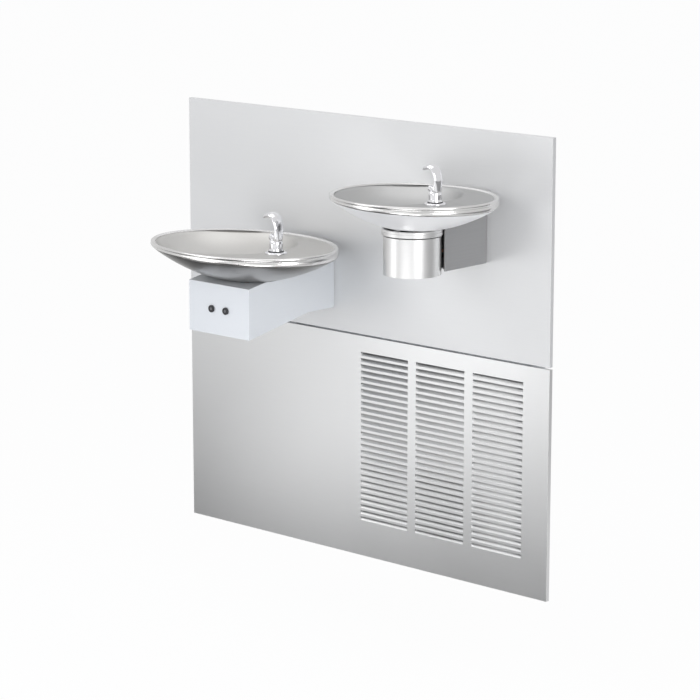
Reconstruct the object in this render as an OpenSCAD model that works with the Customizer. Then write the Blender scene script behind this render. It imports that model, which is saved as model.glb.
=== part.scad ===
// Bi-level in-wall drinking fountain with two oval bowls, trim panels and a chiller behind louvres.
// X runs to the right, Y runs into the wall and Z runs up. Sizes named "out" are measured from the
// finished wall towards the user. The origin is on the wall, midway across, on the panels' seam.

/* [Trim panels] */
// Width of both trim panels
panel_w = 965; // [940:1:1060]
// Height of the upper panel
upper_h = 439; // [420:1:500]
// Height of the lower panel
lower_h = 458; // [450:1:520]
// Gap at the seam between the two panels
seam_gap = 4; // [2:0.5:6]
// Thickness of the panel sheet
sheet_t = 1.5; // [1:0.1:2]
// Depth of the folded panel edge
fold_d = 9; // [8.5:0.5:14]
// Width of the in-turned lip that lies on the wall
lip_w = 12; // [8:1:13]

/* [Louvres] */
// Number of louvres in a column
louvre_count = 28; // [10:1:29]
// Number of louvre columns
louvre_columns = 3; // [1:1:3]
// Distance from one louvre to the next
louvre_pitch = 12.7; // [12:0.1:13]
// Length of one louvre
louvre_len = 128; // [90:1:132]
// Height of a louvre's slot
slot_h = 7.6; // [5:0.1:9]
// Bare sheet between two columns
column_gap = 18; // [12:1:22]
// Bare sheet from the last column to the panel's right edge
louvre_side = 62; // [50:1:80]
// Bare sheet from the panel's top edge down to the first louvre
louvre_top = 33; // [31:1:45]
// Depth that a blade reaches behind the face
blade_d = 6; // [3:0.5:6.5]

/* [Wall frame] */
// Distance from the panel's side edge in to the frame
frame_inset = 52; // [45:1:60]
// Distance from the panel's top and bottom edges in to the frame
frame_end = 15; // [14:1:20]
// Width of a frame rail
rail_w = 40; // [35:1:48]
// Width of the middle rail behind the seam
mid_rail_w = 80; // [78:1:84]
// Depth of a frame rail
rail_d = 45; // [38:1:50]
// Thickness of the rail steel
rail_t = 2; // [1.5:0.1:3]
// Radius of a hole for a bolt into the wall studs
stud_hole_r = 4.5; // [3:0.1:6]
// Thickness of a backing plate behind an arm
backing_t = 3; // [2:0.1:4]

/* [Low unit] */
// Bowl centre in from the panel's left edge
low_side = 329.5; // [315:0.5:345]
// Bowl centre out from the wall
low_reach = 185; // [178:1:200]
// Height of the rim above the seam
low_rim_z = 192; // [185:1:210]
// Half width of the bowl
low_a = 212; // [190:1:225]
// Half depth of the bowl from front to back
low_b = 157; // [140:1:162]
// Height from the rim down to the underside of the bowl
low_bowl_h = 70; // [66:1:76]
// Width of the arm
low_arm_w = 166; // [150:1:185]
// Front of the arm out from the wall
low_arm_reach = 257; // [240:1:275]
// Bottom of the arm above the seam, at the wall
low_arm_z = 48; // [44:1:56]
// Place where the arm's bottom starts to fall, out from the wall
low_arm_kink = 87; // [70:1:110]
// Fall of the arm's bottom towards the front
low_arm_drop = 32; // [20:1:38]
// Height of the arm's front face
low_front_h = 102; // [96:1:106]
// Rise of the arm's top towards the wall
low_top_rise = 40; // [30:1:44]

/* [High unit] */
// Bowl centre in from the panel's right edge
high_side = 210.5; // [195:0.5:225]
// Bowl centre out from the wall
high_reach = 162; // [160:1:175]
// Height of the rim above the seam
high_rim_z = 330; // [322:1:345]
// Half width of the bowl
high_a = 170; // [160:1:182]
// Half depth of the bowl from front to back
high_b = 147; // [138:1:149]
// Height from the rim down to the underside of the bowl
high_bowl_h = 63; // [60:1:68]
// Width of the arm
high_arm_w = 111; // [108:1:118]
// Front of the arm out from the wall
high_arm_reach = 134; // [130:1:138]
// Bottom of the arm above the seam
high_arm_z = 186; // [182:1:188]
// Height of the arm at the wall
high_arm_h = 106; // [100:1:110]

/* [Bowls] */
// Thickness of the pressed basin sheet
basin_t = 2; // [1.5:0.1:2.5]
// Depth of the low basin below its rim
low_basin_drop = 50; // [44:1:52]
// Depth of the high basin below its rim
high_basin_drop = 44; // [40:1:45]
// Mean height of the rim band
band_h = 13; // [10:0.5:15]
// How much the band grows towards the deck end and shrinks at the other
band_grow = 5; // [0:0.5:6]
// Width of the rolled bead on the rim
bead_w = 7; // [4:0.5:9]
// Thickness of the underside shell
shell_t = 1.5; // [1:0.1:2]
// Radius of the drain hole in a basin
drain_r = 20; // [18:0.5:22]

/* [Push bar] */
// Outer radius of the push sleeve
sleeve_r = 55.5; // [54:0.5:57]
// Height of the push sleeve
sleeve_h = 74; // [72:1:75]
// Wall of the push sleeve
sleeve_t = 3; // [2:0.1:3.5]
// Axis of the push sleeve out from the wall
sleeve_reach = 165; // [163:1:166]
// Gap under the trim ring above the sleeve
ring_gap = 2; // [1.5:0.5:3]
// Height of the trim ring
ring_h = 11; // [9:0.1:13]
// How far the trim ring stands out past the sleeve
ring_lip = 3; // [1:0.5:4]
// Travel of the push bar towards the wall
push_travel = 4; // [2:0.5:5]
// Radius of a guide rod
rod_r = 4; // [3:0.25:5]
// Running clearance on the guide rods and the plunger
run_clear = 0.05; // [0.02:0.01:0.1]

/* [Bubblers] */
// Radius of the bubbler's flange
flange_r = 21.8; // [18:0.1:24]
// Radius of the bubbler's body
body_r = 13.8; // [12:0.1:15]
// Height of the bubbler above the deck
bubbler_h = 82; // [75:1:88]
// Size of the high bubbler against the low one
high_bubbler_scale = 0.92; // [0.9:0.01:1]
// Radius of the bubbler's threaded shank
shank_r = 6; // [5:0.1:8]

/* [Pipes] */
// Radius of the waste pipes
waste_r = 15.875; // [15:0.125:16]
// Radius of the water tubes
tube_r = 3.2; // [2.5:0.1:4]
// Radius of the water inlet stub
inlet_r = 4.7625; // [4:0.1:6.35]

/* [Chiller] */
// Radius of the compressor can
can_r = 58; // [45:1:60]
// Height of the compressor can
can_h = 150; // [120:1:170]
// Width of the condenser block
coil_w = 160; // [140:1:170]
// Height of the condenser block
coil_h = 160; // [140:1:180]
// Depth of the condenser block
coil_d = 40; // [30:1:44]
// Radius of the fan blades
fan_r = 66; // [50:1:68]
// Number of fan blades
fan_blades = 5; // [3:1:7]
// Radius of the cooling tank
tank_r = 52; // [40:1:55]
// Height of the cooling tank
tank_h = 170; // [120:1:200]

/* [Hidden] */
// Overrun of a cut past the face that it opens
over = 1;
// Clearance between pieces of one assembly that don't touch
free = 0.4;
// Gap between pieces that are seated on each other's curved faces
seat_gap = 0.3;
// Facets round a bowl
bowl_n = 48;
$fn = 64;
low_x = low_side - panel_w / 2;
high_x = panel_w / 2 - high_side;
top_z = seam_gap / 2 + upper_h;
bottom_z = -seam_gap / 2 - lower_h;
frame_half = panel_w / 2 - frame_inset;
frame_top = top_z - frame_end;
frame_bottom = bottom_z + frame_end;
back_gap = fold_d - sheet_t;
// Wall plate of an arm and the sheet of the arm itself
arm_plate_t = 4;
arm_plate_inset = 1;
arm_t = 2;
arm_back = fold_d + arm_plate_t;
flange_w = 18;
bolt_r = 4;
bolt_head_r = 7;
bolt_head_h = 5;
bolt_nut_h = 6;
bolt_in = 10;
// Rims: drop of the deck, lower edge of the band, and the sheet's rounded shoulder
deck_drop = 3;
shoulder = 2.5;
band_in = 1;
drain_seat = 9;
drain_shift_share = -0.07;
shell_hole_r = 37;
shell_power = 2.1;
low_deck_z = low_rim_z - deck_drop;
high_deck_z = high_rim_z - deck_drop;
low_shell_z = low_rim_z - low_bowl_h;
high_shell_z = high_rim_z - high_bowl_h;
low_drain_x = low_x + drain_shift_share * low_a;
high_drain_x = high_x + drain_shift_share * high_a;
// Bubbler places from each bowl's centre
low_bubbler_x = low_x + 0.552 * low_a;
low_bubbler_reach = low_reach + 0.19 * low_b;
high_bubbler_x = high_x + 0.541 * high_a;
high_bubbler_reach = high_reach + 0.313 * high_b;
// Push bar
ring_z = high_shell_z - free - seat_gap;
sleeve_top = ring_z - ring_h - ring_gap;
sleeve_z = sleeve_top - sleeve_h;
recess_gap = 1.3;
recess_r = sleeve_r + push_travel + recess_gap;

// Rings of a basin from the floor out to the deck: shift, half width, half depth and height shares
basin_shares = [
    [-0.10, 0.30, 0.33, -0.97],
    [-0.145, 0.45, 0.54, -0.86],
    [-0.185, 0.565, 0.71, -0.62],
    [-0.21, 0.635, 0.81, -0.35],
    [-0.225, 0.675, 0.865, -0.15],
    [-0.23, 0.695, 0.885, -0.075],
];
deck_share = 0.945;
// Rings of an underside shell from the rim in to the flat bottom, as shares of the rim
shell_shares = [1, 0.93, 0.84, 0.73, 0.61, 0.49, 0.38, 0.28];

function oval(x, out, a, b, z, tilt) =
    [for (i = [0:bowl_n - 1]) let(t = 360 * i / bowl_n) [x + a * cos(t), -out + b * sin(t), z + tilt * cos(t)]];

// Share of the rim's height that an underside ring has, from 0 at the flat bottom to 1 at the rim
function rise(s) = let(s0 = shell_shares[len(shell_shares) - 1])
    (pow(s, shell_power) - pow(s0, shell_power)) / (1 - pow(s0, shell_power));

function shell_rings(x, out, a, b, z, h, grow, up) = [for (s = shell_shares)
    oval(x, out, (a - band_in) * s + grow, (b - band_in) * s + grow,
        z - h + (h - band_h) * rise(s) + up, -band_grow * rise(s))];

function flip(rings) = [for (i = [len(rings) - 1:-1:0]) rings[i]];

// A closed loop of rings, such as a bowl with a hole in its middle
module loop_loft(rings) {
    n = len(rings[0]);
    m = len(rings);
    polyhedron([for (r = rings) each r], [for (j = [0:m - 1], i = [0:n - 1], k = [0, 1])
        let(a = j * n + i, b = j * n + (i + 1) % n, c = (j + 1) % m * n + (i + 1) % n, d = (j + 1) % m * n + i)
        k == 0 ? [a, b, c] : [a, c, d]]);
}

// A stack of rings from the bottom up, closed at both ends
module stack_loft(rings) {
    n = len(rings[0]);
    m = len(rings);
    polyhedron([for (r = rings) each r], [
        [for (i = [0:n - 1]) i],
        [for (i = [n - 1:-1:0]) (m - 1) * n + i],
        for (j = [0:m - 2], i = [0:n - 1], k = [0, 1])
            let(a = j * n + i, b = j * n + (i + 1) % n, c = (j + 1) * n + (i + 1) % n, d = (j + 1) * n + i)
            k == 0 ? [a, d, c] : [a, c, b]]);
}

// A box between two x places, two distances out from the wall and two heights
module block(x0, x1, out0, out1, z0, z1) {
    translate([x0, -out1, z0]) cube([x1 - x0, out1 - out0, z1 - z0]);
}

// A rod that stands upright, one that runs out from the wall, and one that runs to the right
module rod_up(x, out, z0, z1, r) {
    translate([x, -out, z0]) cylinder(r = r, h = z1 - z0);
}
module rod_out(x, out0, out1, z, r) {
    translate([x, -out0, z]) rotate([90, 0, 0]) cylinder(r = r, h = out1 - out0);
}
module rod_right(x0, x1, out, z, r) {
    translate([x0, -out, z]) rotate([0, 90, 0]) cylinder(r = r, h = x1 - x0);
}

// An outline in distance out and height, extruded to the right from x0 to x1
module side_extrude(x0, x1) {
    translate([x1, 0, 0]) rotate([90, 0, -90]) linear_extrude(x1 - x0) children();
}

// A round tube through a list of points, with a ball at each bend
module run(points, r) {
    for (i = [0:len(points) - 2]) {
        v = points[i + 1] - points[i];
        translate(points[i]) rotate([0, acos(v[2] / norm(v)), atan2(v[1], v[0])]) cylinder(r = r, h = norm(v));
    }
    for (i = [1:1:len(points) - 2]) translate(points[i]) sphere(r = r);
}

// A folded panel: face sheet, return edges and lips that lie on the wall
module folded_panel(z0, z1) {
    half = panel_w / 2;
    difference() {
        block(-half, half, 0, fold_d, z0, z1);
        block(-half + sheet_t, half - sheet_t, sheet_t, fold_d - sheet_t, z0 + sheet_t, z1 - sheet_t);
        block(-half + lip_w, half - lip_w, -over, fold_d - sheet_t, z0 + lip_w, z1 - lip_w);
    }
}

// Windows and bolt holes behind an arm: x of its middle, width, bottom, top, depth range
module arm_holes(x, w, z0, z1, out0, out1, bolt) {
    block(x - w / 2 + flange_w, x + w / 2 - flange_w, out0, out1, z0 + flange_w, z1 - flange_w);
    for (side = [-1, 1], z = [z0 + bolt_in, z1 - bolt_in])
        rod_out(x + side * (w / 2 - bolt_in), out0, out1, z, bolt);
}
module low_holes(out0, out1, bolt) {
    arm_holes(low_x, low_arm_w, low_arm_z, low_hole_top, out0, out1, bolt);
}
module high_holes(out0, out1, bolt) {
    arm_holes(high_x, high_arm_w, high_arm_z, high_hole_top, out0, out1, bolt);
}

upper_panel_z = seam_gap / 2;
low_front_z = low_arm_z - low_arm_drop;
low_front_top = low_front_z + low_front_h;
low_back_top = low_front_top + low_top_rise;
low_hole_top = low_back_top - bolt_in;
high_hole_top = high_arm_z + high_arm_h - bolt_in;
hole_clear = 0.5;

module upper_panel() {
    color("gainsboro")
    difference() {
        folded_panel(upper_panel_z, top_z);
        low_holes(back_gap - over, fold_d + over, bolt_r + hole_clear);
        high_holes(back_gap - over, fold_d + over, bolt_r + hole_clear);
    }
}

louvre_field_top = -seam_gap / 2 - louvre_top;
blade_rise = slot_h * 0.8;
blade_v = sheet_t * 1.3;

// Outlines of one strip with its blade: along the louvre, and closed at the louvre's end
module louvre_outline(z, closed) {
    top = closed ? [[fold_d, z + slot_h], [back_gap, z + slot_h]] : [[fold_d, z]];
    polygon(concat([[fold_d, z + slot_h - louvre_pitch]], top, [
        [fold_d - blade_d, z + blade_rise],
        [fold_d - blade_d, z + blade_rise - blade_v],
        [back_gap, z - blade_v * 0.4],
        [back_gap, z + slot_h - louvre_pitch]]));
}

module louvre_column(x) {
    zs = [for (i = [0:louvre_count - 1]) louvre_field_top - i * louvre_pitch - slot_h];
    side_extrude(x + sheet_t, x + louvre_len - sheet_t) for (z = zs) louvre_outline(z, false);
    side_extrude(x, x + sheet_t) for (z = zs) louvre_outline(z, true);
    side_extrude(x + louvre_len - sheet_t, x + louvre_len) for (z = zs) louvre_outline(z, true);
}

function column_x(i) = panel_w / 2 - louvre_side - louvre_len - i * (louvre_len + column_gap);

module lower_panel() {
    color("silver") {
        difference() {
            folded_panel(bottom_z, -seam_gap / 2);
            for (i = [0:louvre_columns - 1])
                block(column_x(i), column_x(i) + louvre_len, back_gap - over, fold_d + over,
                    louvre_field_top - louvre_count * louvre_pitch, louvre_field_top);
        }
        for (i = [0:louvre_columns - 1]) louvre_column(column_x(i));
    }
}

clip_w = 24;
clip_h = 15;
clip_gap = 2;
clip_x = frame_half - rail_w - clip_w - clip_gap;

// A Z-shaped clip between a rail's face and the back of a panel
module clip(x, z) {
    block(x, x + clip_w, 0, sheet_t, z, z + clip_h);
    block(x, x + sheet_t, 0, back_gap, z, z + clip_h);
    block(x - clip_w, x + sheet_t, back_gap - sheet_t, back_gap, z, z + clip_h);
}

module panel_clips() {
    color("darkgray")
    for (x = [-clip_x, clip_x]) {
        clip(x, frame_top - rail_w / 2 - clip_h / 2);
        clip(x, seam_gap / 2 + lip_w + free);
        clip(x, -seam_gap / 2 - lip_w - free - clip_h);
        clip(x, frame_bottom + rail_w / 2 - clip_h / 2);
    }
}

// A side rail with its web on the outside; side is -1 on the left and 1 on the right
module side_rail(side) {
    mirror([side < 0 ? 1 : 0, 0, 0])
    difference() {
        block(frame_half - rail_w, frame_half, -rail_d, 0, frame_bottom, frame_top);
        block(frame_half - rail_w - over, frame_half - rail_t, -rail_d + rail_t, -rail_t,
            frame_bottom - over, frame_top + over);
        for (z = stud_hole_zs, out = stud_hole_outs)
            rod_right(frame_half - rail_t - over, frame_half + over, out, z, stud_hole_r);
    }
}
stud_hole_in = 30;
stud_hole_zs = [frame_bottom + stud_hole_in, frame_top - stud_hole_in];
stud_hole_outs = [-rail_d * 0.3, -rail_d * 0.7];

module frame_side_left() { color("slategray") side_rail(-1); }
module frame_side_right() { color("slategray") side_rail(1); }

// A cross rail with its web on the wall's face and its flanges running back
module cross_rail(z0, z1) {
    half = frame_half - rail_w;
    difference() {
        block(-half, half, -rail_d, 0, z0, z1);
        block(-half - over, half + over, -rail_d - over, -rail_t, z0 + rail_t, z1 - rail_t);
    }
}

module frame_top_rail() { color("slategray") cross_rail(frame_top - rail_w, frame_top); }
module frame_mid_rail() { color("slategray") cross_rail(-mid_rail_w / 2, mid_rail_w / 2); }

module frame_bottom_rail() { color("slategray") cross_rail(frame_bottom, frame_bottom + rail_w); }

// A hat-shaped backing plate between the middle and the top rail, behind one arm
module backing(x, w) {
    lip = 20;
    z0 = mid_rail_w / 2 - lip;
    z1 = frame_top - rail_w + lip;
    block(x - w / 2, x + w / 2, 0, backing_t, z0, z0 + lip);
    block(x - w / 2, x + w / 2, 0, back_gap, z0 + lip - backing_t, z0 + lip);
    block(x - w / 2, x + w / 2, back_gap - backing_t, back_gap, z0 + lip - backing_t, z1 - lip + backing_t);
    block(x - w / 2, x + w / 2, 0, back_gap, z1 - lip, z1 - lip + backing_t);
    block(x - w / 2, x + w / 2, 0, backing_t, z1 - lip, z1);
}
backing_more = 24;
module low_backing() {
    color("steelblue")
    difference() {
        backing(low_x, low_arm_w + backing_more);
        low_holes(-over, fold_d, bolt_r + hole_clear);
    }
}
module high_backing() {
    color("steelblue")
    difference() {
        backing(high_x, high_arm_w + backing_more);
        high_holes(-over, fold_d, bolt_r + hole_clear);
    }
}

module low_arm_plate() {
    color("whitesmoke")
    difference() {
        block(low_x - low_arm_w / 2 + arm_plate_inset, low_x + low_arm_w / 2 - arm_plate_inset,
            fold_d, arm_back, low_arm_z + arm_plate_inset, low_back_top - arm_plate_inset);
        low_holes(fold_d - over, arm_back + over, bolt_r + hole_clear);
    }
}
module high_arm_plate() {
    color("whitesmoke")
    difference() {
        block(high_x - high_arm_w / 2 + arm_plate_inset, high_x + high_arm_w / 2 - arm_plate_inset,
            fold_d, arm_back, high_arm_z + arm_plate_inset, high_arm_z + high_arm_h - arm_plate_inset);
        high_holes(fold_d - over, arm_back + over, bolt_r + hole_clear);
    }
}

// Side outline of the low arm; in, under and above are how far it is drawn in from the real one
module low_arm_outline(in, under, above) {
    polygon([
        [arm_back + in, low_arm_z - under],
        [low_arm_kink, low_arm_z - under],
        [low_arm_reach - in, low_front_z - under],
        [low_arm_reach - in, low_front_top - above],
        [arm_back + in, low_back_top - above]]);
}
top_slope_share = low_top_rise / (low_arm_reach - arm_back);

// The space that a bowl's shell takes, with a clearance all round
module bowl_space(x, out, a, b, z, h) {
    stack_loft(flip(concat([oval(x, out, a + free, b + free, z, 0)],
        shell_rings(x, out, a, b, z, h, free, -2 * free))));
}

eye_x = 19.5;
eye_z = 67;
eye_r = 7.2;

module low_arm() {
    color("aliceblue")
    difference() {
        side_extrude(low_x - low_arm_w / 2, low_x + low_arm_w / 2) low_arm_outline(0, 0, 0);
        side_extrude(low_x - low_arm_w / 2 + arm_t, low_x + low_arm_w / 2 - arm_t)
            low_arm_outline(arm_t, over, arm_t * (1 + top_slope_share));
        low_holes(arm_back - over, arm_back + arm_t + over, bolt_r + hole_clear);
        bowl_space(low_x, low_reach, low_a, low_b, low_rim_z, low_bowl_h);
        for (side = [-1, 1])
            rod_out(low_x + side * eye_x, low_arm_reach - arm_t - over, low_arm_reach + over, eye_z, eye_r);
    }
}

module low_arm_cover() {
    color("lightgray")
    side_extrude(low_x - low_arm_w / 2 + arm_t, low_x + low_arm_w / 2 - arm_t) polygon([
        [arm_back + arm_t, low_arm_z],
        [low_arm_kink, low_arm_z],
        [low_arm_reach - arm_t, low_front_z + arm_t * low_arm_drop / (low_arm_reach - low_arm_kink)],
        [low_arm_reach - arm_t, low_front_z + arm_t * (1 + low_arm_drop / (low_arm_reach - low_arm_kink))],
        [low_arm_kink, low_arm_z + arm_t],
        [arm_back + arm_t, low_arm_z + arm_t]]);
}

// A pressed basin: drain seat, floor, wall, flat deck, rolled bead and outer band
module basin(x, out, a, b, z, drop) {
    dx = x + drain_shift_share * a;
    floor_z = z - drop;
    top = [for (s = basin_shares)
        oval(x + s[0] * a, out, s[1] * a, s[2] * b, z + s[3] * drop, 0)];
    under = [for (s = basin_shares)
        oval(x + s[0] * a, out, s[1] * a + basin_t * 0.6, s[2] * b + basin_t * 0.6,
            z + s[3] * drop - basin_t, 0)];
    d = deck_share;
    e = (1 + d) / 2;
    loop_loft(concat(
        [oval(dx, out, drain_r, drain_r, floor_z, 0)],
        [oval(dx, out, drain_r + drain_seat, drain_r + drain_seat, floor_z, 0)],
        top,
        [oval(x - 0.225 * a, out, 0.72 * a, 0.9 * b, z - deck_drop, 0)],
        [oval(x, out, a * d, b * d, z - deck_drop, 0)],
        [oval(x, out, a - bead_w, b - bead_w, z - deck_drop / 3, 0)],
        [oval(x, out, a - bead_w / 2, b - bead_w / 2, z, 0)],
        [oval(x, out, a - bead_w / 8, b - bead_w / 8, z - shoulder / 2, 0)],
        [oval(x, out, a, b, z - shoulder, 0)],
        [oval(x, out, a - band_in, b - band_in, z - band_h, -band_grow)],
        [oval(x, out, a - band_in - basin_t, b - band_in - basin_t, z - band_h, -band_grow)],
        [oval(x, out, a - basin_t, b - basin_t, z - shoulder - basin_t / 2, 0)],
        [oval(x, out, a - bead_w / 2, b - bead_w / 2, z - basin_t, 0)],
        [oval(x, out, a * d, b * d, z - deck_drop - basin_t, 0)],
        [oval(x - 0.225 * a, out, 0.72 * a + basin_t / 4, 0.9 * b + basin_t / 4, z - deck_drop - basin_t, 0)],
        flip(under),
        [oval(dx, out, drain_r + drain_seat, drain_r + drain_seat, floor_z - basin_t, 0)],
        [oval(dx, out, drain_r, drain_r, floor_z - basin_t, 0)]));
}

// The underside skin of a bowl, with a hole in its flat bottom for the pipes; its edge lies under the band
module shell(x, out, a, b, z, h) {
    outer = shell_rings(x, out, a, b, z, h, 0, -free);
    inner = shell_rings(x, out, a, b, z, h, -shell_t * 0.8, shell_t - free);
    edge = oval(x, out, a - band_in - shell_t, b - band_in - shell_t, z - band_h - free, -band_grow);
    loop_loft(concat(
        outer,
        [oval(x, out, shell_hole_r, shell_hole_r, z - h - free, 0)],
        [oval(x, out, shell_hole_r, shell_hole_r, z - h + shell_t - free, 0)],
        flip([for (i = [1:len(inner) - 1]) inner[i]]),
        [edge]));
}

module low_basin() {
    color("lightgray")
    difference() {
        basin(low_x, low_reach, low_a, low_b, low_rim_z, low_basin_drop);
        rod_up(low_bubbler_x, low_bubbler_reach, low_deck_z - basin_t - over, low_deck_z + over, shank_r + free);
    }
}
module low_shell() {
    color("darkgray") shell(low_x, low_reach, low_a, low_b, low_rim_z, low_bowl_h);
}
module high_basin() {
    color("lightgray")
    difference() {
        basin(high_x, high_reach, high_a, high_b, high_rim_z, high_basin_drop);
        rod_up(high_bubbler_x, high_bubbler_reach, high_deck_z - basin_t - over, high_deck_z + over, shank_r + free);
    }
}
module high_shell() {
    color("darkgray") shell(high_x, high_reach, high_a, high_b, high_rim_z, high_bowl_h);
}

escutcheon_h = 3.5;
gasket_h = 1.2;
gasket_r = flange_r * 0.71;
nozzle_r = body_r * 0.36;
nozzle_tilt = 52;
nut_h = 7;
nut_r = 11;
shank_drop = 24;
body_top = bubbler_h * 0.33;
// Hood sections: x, height, lean, half width and half thickness, as shares of the bubbler's height
hood_shares = [
    [0.03, 0.25, 0, 0.135, 0.12],
    [0.055, 0.36, -8, 0.14, 0.1],
    [0.085, 0.47, -8, 0.145, 0.075],
    [0.105, 0.585, 0, 0.155, 0.058],
    [0.09, 0.71, 16, 0.165, 0.046],
    [0.035, 0.83, 38, 0.17, 0.038],
    [-0.06, 0.92, 62, 0.165, 0.032],
    [-0.185, 0.965, 82, 0.15, 0.028],
    [-0.31, 0.955, 102, 0.12, 0.024],
    [-0.4, 0.91, 118, 0.075, 0.018],
];
hood_n = 16;

function hood_ring(s) = let(h = bubbler_h)
    [for (i = [0:hood_n - 1]) let(t = 360 * i / hood_n, n = s[4] * h * sin(t))
        [s[0] * h - n * cos(s[2]), s[3] * h * cos(t), s[1] * h - n * sin(s[2])]];

// A bubbler's pieces stand on the deck at z = 0 and lean towards -X; size is their uniform scale
module on_deck(x, out, z, size) {
    translate([x, -out, z]) scale(size) children();
}

module escutcheon() {
    rotate_extrude() polygon([
        [shank_r + free, 0],
        [flange_r, 0],
        [flange_r, escutcheon_h * 0.4],
        [flange_r * 0.94, escutcheon_h * 0.8],
        [flange_r * 0.84, escutcheon_h],
        [shank_r + free, escutcheon_h]]);
}

module gasket() {
    translate([0, 0, escutcheon_h]) difference() {
        cylinder(r = gasket_r, h = gasket_h);
        translate([0, 0, -over]) cylinder(r = shank_r + free, h = gasket_h + 2 * over);
    }
}

nozzle_x = -body_r * 0.45;
nozzle_z = bubbler_h * 0.34;
nozzle_len = body_r * 1.1;
module nozzle_place() {
    translate([nozzle_x, 0, nozzle_z]) rotate([0, -nozzle_tilt, 0]) children();
}

module bubbler() {
    z0 = escutcheon_h + gasket_h;
    difference() {
        union() {
            rotate_extrude() polygon([
                [0, z0],
                [body_r * 1.06, z0],
                [body_r * 1.06, z0 + gasket_h * 2],
                [body_r, z0 + gasket_h * 3],
                [body_r * 0.97, body_top * 0.85],
                [body_r * 0.8, body_top],
                [0, body_top]]);
            nozzle_place() translate([0, 0, -nozzle_len / 2]) cylinder(r = nozzle_r * 1.5, h = nozzle_len);
            stack_loft([for (s = hood_shares) hood_ring(s)]);
            translate([0, 0, -shank_drop]) cylinder(r = shank_r, h = shank_drop + z0 + over);
        }
        nozzle_place() cylinder(r = nozzle_r, h = nozzle_len);
    }
}

module nozzle() {
    nozzle_place() difference() {
        cylinder(r = nozzle_r, h = nozzle_len * 0.7);
        translate([0, 0, nozzle_len * 0.3]) cylinder(r = nozzle_r * 0.45, h = nozzle_len);
    }
}

// The lock nut under the deck; deck_under is the sheet's thickness at the bubbler's own scale
module lock_nut(deck_under) {
    translate([0, 0, -deck_under - nut_h]) difference() {
        cylinder(r = nut_r, h = nut_h, $fn = 6);
        translate([0, 0, -over]) cylinder(r = shank_r, h = nut_h + 2 * over);
    }
}

module on_low_deck() { on_deck(low_bubbler_x, low_bubbler_reach, low_deck_z, 1) children(); }
module on_high_deck() { on_deck(high_bubbler_x, high_bubbler_reach, high_deck_z, high_bubbler_scale) children(); }
module low_escutcheon() { color("gainsboro") on_low_deck() escutcheon(); }
module low_bubbler_gasket() { color("dimgray") on_low_deck() gasket(); }
module low_bubbler() { color("gainsboro") on_low_deck() bubbler(); }
module low_nozzle() { color("silver") on_low_deck() nozzle(); }
module low_bubbler_nut() { color("goldenrod") on_low_deck() lock_nut(basin_t); }
module high_escutcheon() { color("gainsboro") on_high_deck() escutcheon(); }
module high_bubbler_gasket() { color("dimgray") on_high_deck() gasket(); }
module high_bubbler() { color("gainsboro") on_high_deck() bubbler(); }
module high_nozzle() { color("silver") on_high_deck() nozzle(); }
module high_bubbler_nut() {
    color("goldenrod") on_high_deck() lock_nut(basin_t / high_bubbler_scale);
}

strainer_t = 2;
strainer_hole_r = 2.4;
// Rings of holes: radius as a share of the drain hole's, and the number of holes
strainer_rings = [[0, 1], [0.4, 6], [0.75, 12]];
// A perforated strainer on the drain seat
module strainer(x, out, z) {
    translate([x, -out, z]) difference() {
        cylinder(r = drain_r + drain_seat * 0.7, h = strainer_t);
        for (g = strainer_rings, i = [0:g[1] - 1])
            rotate([0, 0, 360 * i / g[1]]) translate([g[0] * drain_r, 0, -over])
                cylinder(r = strainer_hole_r, h = strainer_t + 2 * over);
    }
}
module low_strainer() { color("silver") strainer(low_drain_x, low_reach, low_rim_z - low_basin_drop); }
module high_strainer() { color("silver") strainer(high_drain_x, high_reach, high_rim_z - high_basin_drop); }

tail_flange_h = 3;
waste_t = 1.5;
low_waste_up = 36;
low_waste_z = low_arm_z + low_waste_up;
high_waste_under = 6;
high_waste_z = sleeve_top - waste_r - high_waste_under;
// Depths in the wall where a unit's waste pipe ends, and where the lines drop behind the frame
waste_joint_y = 30;
line_gap = 5;
waste_line_y = rail_d + waste_r + line_gap;
water_line_y = waste_line_y + waste_r + tube_r + line_gap;

// A drain body under a basin: flange, tailpiece, elbow and a level pipe back into the wall
module waste(x, out, z_top, z_run) {
    difference() {
        union() {
            rod_up(x, out, z_top - tail_flange_h, z_top, drain_r + drain_seat * 0.6);
            run([[x, -out, z_top - tail_flange_h], [x, -out, z_run], [x, waste_joint_y, z_run]], waste_r);
        }
        rod_up(x, out, z_run, z_top + over, waste_r - waste_t);
    }
}
module low_waste() {
    color("dimgray") waste(low_drain_x, low_reach, low_rim_z - low_basin_drop - basin_t, low_waste_z);
}
module high_waste() {
    color("dimgray") waste(high_drain_x, high_reach, high_rim_z - high_basin_drop - basin_t, high_waste_z);
}

tee_under = 30;
tee_z = -mid_rail_w / 2 - tee_under;
trap_left = 60;
trap_x = low_drain_x - trap_left;
trap_under = 90;
trap_z = tee_z - trap_under;
trap_bend = 34;
trap_rise = 40;
outlet_len = 76;
slip_nut_in = 16;
slip_nut_len = 20;
slip_nut_r = 21;
// The drain lines in the wall: both pipes join, pass one trap and leave to the back
module waste_line() {
    y = waste_line_y;
    color("gray") {
        run([[high_drain_x, waste_joint_y, high_waste_z], [high_drain_x, y, high_waste_z],
            [high_drain_x, y, tee_z], [trap_x, y, tee_z], [trap_x, y, trap_z - trap_bend],
            [trap_x - 2 * trap_bend, y, trap_z - trap_bend],
            [trap_x - 2 * trap_bend, y, trap_z + trap_rise],
            [trap_x - 2 * trap_bend, y + outlet_len, trap_z + trap_rise]], waste_r);
        run([[low_drain_x, waste_joint_y, low_waste_z], [low_drain_x, y, low_waste_z],
            [low_drain_x, y, tee_z]], waste_r);
        rod_out(trap_x - 2 * trap_bend, -y - slip_nut_in - slip_nut_len, -y - slip_nut_in, trap_z + trap_rise,
            slip_nut_r);
    }
}

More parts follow.
